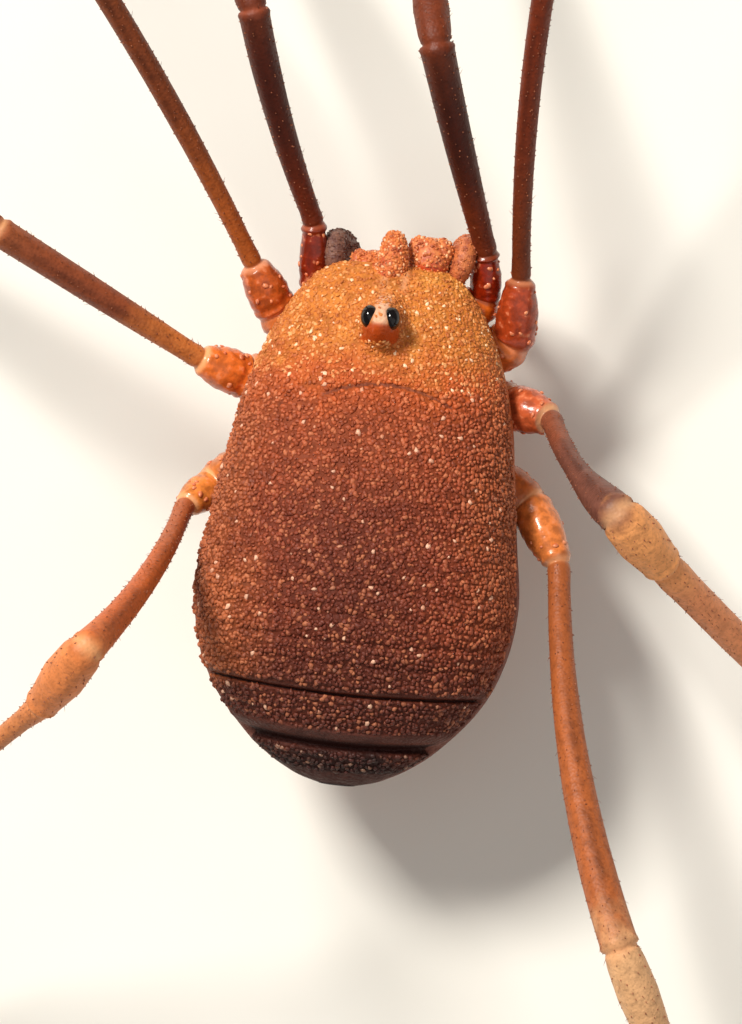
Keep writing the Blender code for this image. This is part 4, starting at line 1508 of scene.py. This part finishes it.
    def shell(self) -> Form:
        """The leg's shell as one closed surface, with its marks."""
        end = self.joints[-1]
        spots = [(joint, 0.16, 2.6) for joint in self.joints[1:-1]] + [(end, 0.1, 3.0)]
        s = spread(0.0, end, int(120 + end / 0.075), spots)
        turn = np.arange(self.sides) * TURN / self.sides
        stage = self.stage(s)
        shaft = ramp(stage, 2.1, 2.4) * ramp(stage, 5.0, 4.6)
        ribs = 1.0 + 0.015 * np.cos(6.0 * turn)[None, :] * shaft[:, None]
        hip = ramp(stage, 0.5, 0.8) * ramp(stage, 2.02, 1.9)
        phase = 5.0 * self.pair + self.side.value
        lumps = np.sin(3.0 * turn[None, :] + 21.0 * s[:, None] + phase)
        lumps = lumps * np.sin(2.0 * turn[None, :] - 13.0 * s[:, None])
        ribs = ribs + 0.035 * hip[:, None] * lumps
        cap = np.sqrt(1.0 - (1.0 - np.clip((end - s) / 0.06, 0.0, 1.0)) ** 2 + 1e-6)
        radii = (self.radius(s) * cap)[:, None] * ribs
        rings = tube(self.at(s), radii, turn)
        rings[..., 2] = np.maximum(rings[..., 2], self.floor)
        ring = sum(0.6 * bell(s, joint, 0.035) for joint in self.joints[3:-1])
        ring = ring + 0.8 * bell(s, self.joints[2] - 0.02, 0.04)
        hoop = bell(s, self.joints[1] + 0.01, 0.035)
        streaks = np.clip(np.cos(3.0 * turn + 0.8), 0.0, 1.0) ** 2
        long_part = ramp(stage, 2.15, 2.5) * ramp(stage, 3.1, 2.9)
        ones = np.ones_like(turn)
        marks = {
            "run": stage[:, None] * ones,
            "ring": np.clip(ring + 0.9 * hoop, 0.0, 1.0)[:, None] * ones,
            "streak": long_part[:, None] * streaks[None, :],
        }
        return loft(rings, self.at(np.array([0.0]))[0], rings[-1].mean(axis=0), marks)

    def rooted(self, s: Array, angle: Array) -> tuple[Array, Array, Array]:
        """Points on the shell with their outward and toeward directions."""
        along = unit(self.at(s + 0.03) - self.at(s - 0.03))
        outward = around(along, angle)
        return self.at(s) + outward * self.radius(s)[:, None], outward, along

    def leaning(self, shape: Form, s: Array, angle: Array, sizes: Array, tints: Array, slant: float) -> Form:
        """Copies of a small shape on the shell, each tilted towards the toe.

        Args:
            shape: the shape, of unit size.
            s: the arc length of each root.
            angle: the angle of each root round the leg.
            sizes: the three sizes of each copy, (n, 3).
            tints: one number for each copy.
            slant: the share of the toeward direction added to the outward one.

        Returns:
            All the copies as one surface.
        """
        roots, outward, along = self.rooted(s, angle)
        lean = unit(outward + slant * along)
        across = unit(np.cross(along, lean))
        axes = np.stack([across, np.cross(lean, across), lean], axis=1)
        return strew(shape, roots, axes, sizes, homes_round(angle, s / self.joints[-1]), tints)

    def spines(self) -> Form:
        """Fine teeth in rows along femur, patella and tibia."""
        rng = np.random.RandomState(SEED + 10 * self.pair + self.side.value)
        first, last = self.joints[Segment.FEMUR.value] + 0.15, self.joints[Segment.METATARSUS.value] - 0.1
        places = np.arange(first, last, 0.13)
        rows = np.radians([20.0, 62.0, 105.0, 150.0, 195.0, 345.0])
        s, angle = (grid.ravel() for grid in np.meshgrid(places, rows))
        s = s + rng.uniform(-0.065, 0.065, len(s))
        angle = angle + rng.normal(0.0, 0.16, len(s))
        keep = rng.uniform(0.0, 1.0, len(s)) < 0.72
        s, angle = s[keep], angle[keep]
        girth = rng.uniform(0.008, 0.014, len(s))
        sizes = np.stack([girth, girth * 1.3, rng.uniform(0.014, 0.030, len(s))], axis=1)
        tints = rng.uniform(0.0, 1.0, len(s))
        return self.leaning(bead(5, TOOTH), s, angle, sizes, tints, slant=0.5)

    def tubercles(self) -> Form:
        """Pale round tubercles, scattered over the end of the coxa and the hip."""
        rng = np.random.RandomState(SEED + 80 + 10 * self.pair + self.side.value)
        coxa, hip = self.joints[1], self.joints[2]
        on_coxa, on_hip, pitch = 6, 18, 0.08
        s = np.concatenate([
            rng.uniform(coxa - 0.30, coxa - 0.08, on_coxa), rng.uniform(coxa + 0.1, hip - 0.1, on_hip),
        ])
        angle = rng.uniform(0.0, TURN, on_coxa + on_hip)
        roots, outward, along = self.rooted(s, angle)
        kind = Granules(girth=(0.25, 0.52), length=(1.0, 1.5), height=(0.2, 0.4), lean=0.1, sides=8)
        homes = homes_round(angle, s / self.joints[-1])
        return kind.strewn(roots, outward, along, homes, pitch, rng)

    def hairs(self) -> Form:
        """Thin hairs from the hip to the toe, closer on the foot."""
        rng = np.random.RandomState(SEED + 40 + 10 * self.pair + self.side.value)
        hip, foot, toe = self.joints[2], self.joints[Segment.METATARSUS.value], self.joints[-1] - 0.1
        s = np.concatenate([
            rng.uniform(hip, foot, int(5 * (foot - hip))), rng.uniform(foot, toe, int(14 * (toe - foot))),
        ])
        angle = rng.uniform(-0.15 * math.pi, 1.15 * math.pi, len(s))
        thick = np.full(len(s), 0.0042)
        sizes = np.stack([thick, thick, rng.uniform(0.05, 0.12, len(s))], axis=1)
        tints = rng.uniform(0.0, 1.0, len(s))
        form = self.leaning(bead(3, HAIR), s, angle, sizes, tints, slant=1.3)
        form.points[:, 2] = np.maximum(form.points[:, 2], self.floor)
        return form

    def claws(self) -> Form:
        """The hooked claws at the toe, which rest on the floor."""
        tip = self.at(np.array([self.joints[-1]]))[0]
        ahead = self.line[-1] - self.line[-12]
        ahead[2] = 0.0
        ahead = unit(ahead)
        aside = np.array([-ahead[1], ahead[0], 0.0])
        offsets = (0.0,) if self.sizes.claws == 1 else (-0.035, 0.035)
        hooks = []
        for offset in offsets:
            t = np.linspace(0.0, 1.0, 14)[:, None]
            start = tip + aside * offset - ahead * 0.06
            arch = np.sin(math.pi * t) * (0, 0, 0.05)
            path = start + ahead * 0.26 * t + aside * offset * 1.6 * t + arch
            path[:, 2] = np.maximum(path[:, 2] * (1.0 - t[:, 0] ** 3), 0.012)
            radii = 0.026 * (1.0 - t[:, 0] ** 2) + 0.004
            turn = np.arange(10) * TURN / 10
            rings = tube(path, np.repeat(radii[:, None], 10, axis=1), turn)
            rings[..., 2] = np.maximum(rings[..., 2], self.floor)
            hooks.append(loft(rings, path[0], path[-1] + ahead * 0.01))
        return Form.joined(hooks)

    def build(self, shop: Workshop, finishes: Mapping[str, bpy.types.Material]) -> None:
        """Make every piece of the leg."""
        colours = LEG_COLOURS[(self.side, self.pair)]
        finish = LegFinish(f"leg_shell_{self.name}", colours).material(self.datum)
        nodes = [f"{part.name.lower()}_{self.name}" for part in Segment if part is not Segment.COXA]
        shop.piece(f"leg_{self.name}", self.shell(), finish, nodes)
        shop.piece(f"hip_grains_{self.name}", self.tubercles(), finishes["tubercle"])
        shop.piece(f"leg_spines_{self.name}", self.spines(), finishes["spine"])
        shop.piece(f"leg_hairs_{self.name}", self.hairs(), finishes["spine"])
        shop.piece(f"claws_{self.name}", self.claws(), finishes["horn"])


@dataclass(frozen=True)
class JawFinish:
    """The jaws' shell: pinkish orange in front, redder and glossy where it leaves the head."""

    front: Colour = linear(214, 126, 72)
    other: Colour = linear(180, 84, 50)
    root: Colour = linear(182, 60, 18)
    bend: tuple[float, float] = (-3.98, -3.86)

    def material(self, datum: Datum) -> bpy.types.Material:
        """Make the finish."""
        made, desk = Desk.open("jaw_shell")
        place = desk.place(datum)
        _, y, _ = desk.axes(place)
        mottle = desk.noise(place, 0.1, 3.0)
        root = y.step(*self.bend)
        colour = desk.mix(mottle.step(0.35, 0.65), self.front, self.other)
        colour = desk.mix(root, colour, self.root)
        rough = 0.46 + (mottle - 0.5) * 0.2 - root * 0.2
        desk.surface(
            base_color=colour, roughness=rough, specular_ior_level=0.4,
            normal=desk.bump(desk.noise(place, 0.04, 2.0), 0.01),
        )
        return made


@dataclass
class Mouth:
    """The two jaws and the two feelers."""

    datum: Datum
    reaches: Mapping[Side, Triple] = field(default_factory=lambda: {
        Side.RIGHT: (-0.53, -4.06, 3.10), Side.LEFT: (0.40, -3.82, 2.72),
    })
    girths: Mapping[Side, float] = field(default_factory=lambda: {Side.RIGHT: 1.22, Side.LEFT: 1.0})
    shifts: Mapping[Side, Triple] = field(default_factory=lambda: {
        Side.RIGHT: (0.06, 0.0, 0.0), Side.LEFT: (-0.05, 0.08, -0.28),
    })
    kind: Granules = Granules(girth=(0.28, 0.58), length=(1.0, 1.6), height=(0.25, 0.6), lean=0.2)
    fine: Granules = Granules(girth=(0.14, 0.34), length=(1.0, 1.5), height=(0.15, 0.4), lean=0.2)
    jaw_pitch: float = 0.052
    feeler_pitch: float = 0.075

    def base(self, side: Side) -> Limb:
        """The jaw's rounded base, which juts out of the head."""
        x, y, z = self.reaches[side]
        radii = np.array([0.18, 0.235, 0.24, 0.17]) * self.girths[side]
        return Limb(
            ((x * 0.9, y + 0.52, z - 0.28), (x * 0.95, y + 0.25, z - 0.05), (x, y, z),
             (x, y - 0.22, z - 0.15)),
            tuple(radii),
        )

    def lobes(self, side: Side) -> list[Limb]:
        """The two knobs at the front of the base, with a notch between them."""
        x, y, z = self.reaches[side]
        girth = self.girths[side]
        return [
            Limb(
                ((x + dx, y + 0.06, z + 0.02), (x + 1.15 * dx, y - 0.10, z + 0.05),
                 (x + 1.1 * dx, y - 0.26, z - 0.04)),
                (0.12 * girth, 0.135 * girth, 0.10 * girth),
            )
            for dx in (-0.12 * girth, 0.12 * girth)
        ]

    def hand(self, side: Side) -> Limb:
        """The hand that hangs from the base."""
        x, y, z = self.reaches[side]
        return Limb(
            ((x * 0.96, y - 0.13, z - 0.14), (x * 0.94, y - 0.16, z - 0.40), (x * 0.92, y - 0.14, z - 0.70),
             (x * 0.92, y - 0.08, z - 1.04)),
            (0.12, 0.17, 0.19, 0.11),
        )

    def jaw(self, side: Side) -> Form:
        """One jaw: its base, its hand and two fingers."""
        x, y, z = self.reaches[side]
        fingers = [
            Limb(((x * 0.92 + dx * 0.7, y - 0.10, z - 0.86), (x * 0.92 + 1.3 * dx, y - 0.13, z - 1.14),
                  (x * 0.92 + dx * 0.5, y - 0.04, z - 1.36)), (0.07, 0.055, 0.02)).form(24, 16)
            for dx in (-0.105, 0.105)
        ]
        lobes = [lobe.form(24, 20) for lobe in self.lobes(side)]
        return Form.joined([self.base(side).form(), self.hand(side).form()] + lobes + fingers)

    def feeler(self, side: Side) -> Limb:
        """One feeler: it starts beside the jaw and curls down under the head."""
        route = np.array([
            (0.84, -3.72, 2.98), (0.96, -4.02, 3.16), (0.98, -4.22, 3.10), (0.96, -4.34, 2.74),
            (0.90, -4.32, 2.20), (0.78, -4.16, 1.66), (0.60, -3.90, 1.26), (0.42, -3.56, 1.06),
        ])
        route = side.mirrored(route + self.shifts[side])
        return Limb(tuple(map(tuple, route)), (0.13, 0.16, 0.165, 0.13, 0.17, 0.14, 0.12, 0.06))

    def build(self, shop: Workshop) -> None:
        """Make the jaws and the feelers."""
        jaw = JawFinish().material(self.datum)
        crumbs = MouthGrain("jaw_grain").material(self.datum)
        bright = PlainFinish(
            "feeler_bright", linear(204, 116, 66), linear(160, 78, 48), roughness=0.45, pitch=0.1, depth=0.02
        )
        # The left feeler's mauve-brown is painted shade: a darker copy of the right feeler's finish.
        painted_shade = PlainFinish(
            "feeler_painted_shade", linear(126, 84, 66), linear(96, 60, 54), roughness=0.5, pitch=0.1, depth=0.02
        )
        feelers = {Side.RIGHT: bright, Side.LEFT: painted_shade}
        for side in Side:
            name = side.name.lower()
            shop.piece(f"jaw_{name}", self.jaw(side), jaw, [f"chelicera_{name}"])
            lines = [self.base(side), *self.lobes(side)]
            first = SEED + 5 + side.value
            grains = [line.grained(self.jaw_pitch, self.kind, first + n) for n, line in enumerate(lines)]
            shop.piece(f"jaw_grains_{name}", Form.joined(grains), crumbs)
            feeler = feelers[side].material(self.datum)
            limb = self.feeler(side)
            shop.piece(f"feeler_{name}", limb.form(90, 24), feeler, [f"pedipalp_{name}"])
            grained = limb.grained(self.feeler_pitch, self.fine, SEED + 15 + side.value)
            shop.piece(f"feeler_grains_{name}", grained, feeler)


@dataclass(frozen=True)
class Studio:
    """The pale floor, the soft lights and the camera."""

    datum: Datum
    camera_place: Triple = (-6.36201832, 2.91644703, 93.12779119)
    roll: float = 4.0
    pitch: float = 2.0
    turn: float = 6.25
    scale: float = 0.01468
    distance: float = 90.0
    picture: tuple[int, int] = (742, 1024)
    sensor: float = 36.0
    lamp_aim: Triple = (0.0, 0.0, 0.003)
    floor_reach: float = 1.5
    floor_level: float = -0.00002

    def camera(self) -> None:
        """Set up the camera as the picture was taken.

        Its back leans to the right and to the rear by the roll and the pitch, the
        picture is turned about the line of sight, and the lens is long enough for
        one pixel to be ``scale`` millimetres at ``distance``.
        """
        roll, pitch, turn = (math.radians(value) for value in (self.roll, self.pitch, self.turn))
        back = unit(np.array([-math.sin(roll), math.sin(pitch), math.cos(roll) * math.cos(pitch)]))
        ahead = np.array([0.0, -1.0, 0.0])
        up = unit(ahead - back * (ahead @ back))
        right = np.cross(up, back)
        cosine, sine = math.cos(turn), math.sin(turn)
        right, up = right * cosine + up * sine, up * cosine - right * sine
        lens = bpy.data.cameras.new("camera")
        lens.sensor_width = self.sensor
        lens.lens = self.sensor * self.distance / (self.scale * self.picture[1])
        lens.clip_start, lens.clip_end = 0.001, 10.0
        place = self.datum.metres(np.array(self.camera_place))
        bpy.context.scene.camera = put("camera", lens, [right, up, back], place)

    def lamp(
        self, name: str, towards: Triple, distance: float, size: float, power: float, colour: Colour
    ) -> None:
        """Hang one square light that looks at the animal.

        Args:
            name: the light's name.
            towards: the direction from the animal to it.
            distance: how far away it hangs, in metres.
            size: its side, in metres.
            power: its power in watts.
            colour: its colour.
        """
        data = bpy.data.lights.new(name, "AREA")
        data.size = size
        data.energy = power
        data.color = colour
        back = unit(np.array(towards))
        level = unit(np.cross((0.0, 0.0, 1.0), back))
        put(name, data, [level, np.cross(back, level), back], back * distance + self.lamp_aim)

    def floor(self) -> None:
        """Lay the pale floor just under the feet."""
        reach, level = self.floor_reach, self.floor_level
        mesh = bpy.data.meshes.new("floor")
        mesh.from_pydata(
            [(-reach, -reach, level), (reach, -reach, level), (reach, reach, level), (-reach, reach, level)],
            [], [(0, 1, 2, 3)],
        )
        finish, desk = Desk.open("floor_card")
        place = desk.place(self.datum)
        cloud = desk.noise(place, 6.0, 3.0)
        colour = desk.mix(cloud, linear(226, 222, 212), linear(236, 233, 226))
        desk.surface(base_color=colour, roughness=0.75)
        mesh.materials.append(finish)
        put("floor", mesh)

    def build(self) -> None:
        """Set up floor, lights and camera."""
        self.floor()
        self.lamp("key", (0.50, -0.52, 0.95), 0.20, 0.045, 0.53, (1.0, 0.97, 0.91))
        self.lamp("fill", (-0.70, 0.45, 0.75), 0.25, 0.25, 0.12, (1.0, 0.96, 0.92))
        self.lamp("top", (0.05, 0.05, 1.0), 0.28, 0.20, 0.06, (1.0, 1.0, 1.0))
        world = bpy.data.worlds.new("world")
        world.use_nodes = True
        light = world.node_tree.nodes["Background"]
        light.inputs["Color"].default_value = (0.98, 0.96, 0.94, 1.0)
        light.inputs["Strength"].default_value = 0.27
        bpy.context.scene.world = world
        bpy.context.scene.view_settings.view_transform = "Standard"
        self.camera()


def main() -> None:
    """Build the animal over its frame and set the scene."""
    logging.basicConfig(level=logging.INFO, format="%(message)s")
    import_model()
    shape = BodyShape()
    datum = Datum.read("eye_left", shape.eye_place)
    shop = Workshop(datum)
    Studio(datum).build()
    Body(shape, datum).build(shop)
    Mouth(datum).build(shop)
    finishes = {name: finish.material(datum) for name, finish in LEG_TRIMS.items()}
    for side, pair in POSES:
        Leg(side, pair, datum).build(shop, finishes)
    log.info("%d pieces", shop.made)
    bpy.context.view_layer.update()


if __name__ == "__main__":
    main()
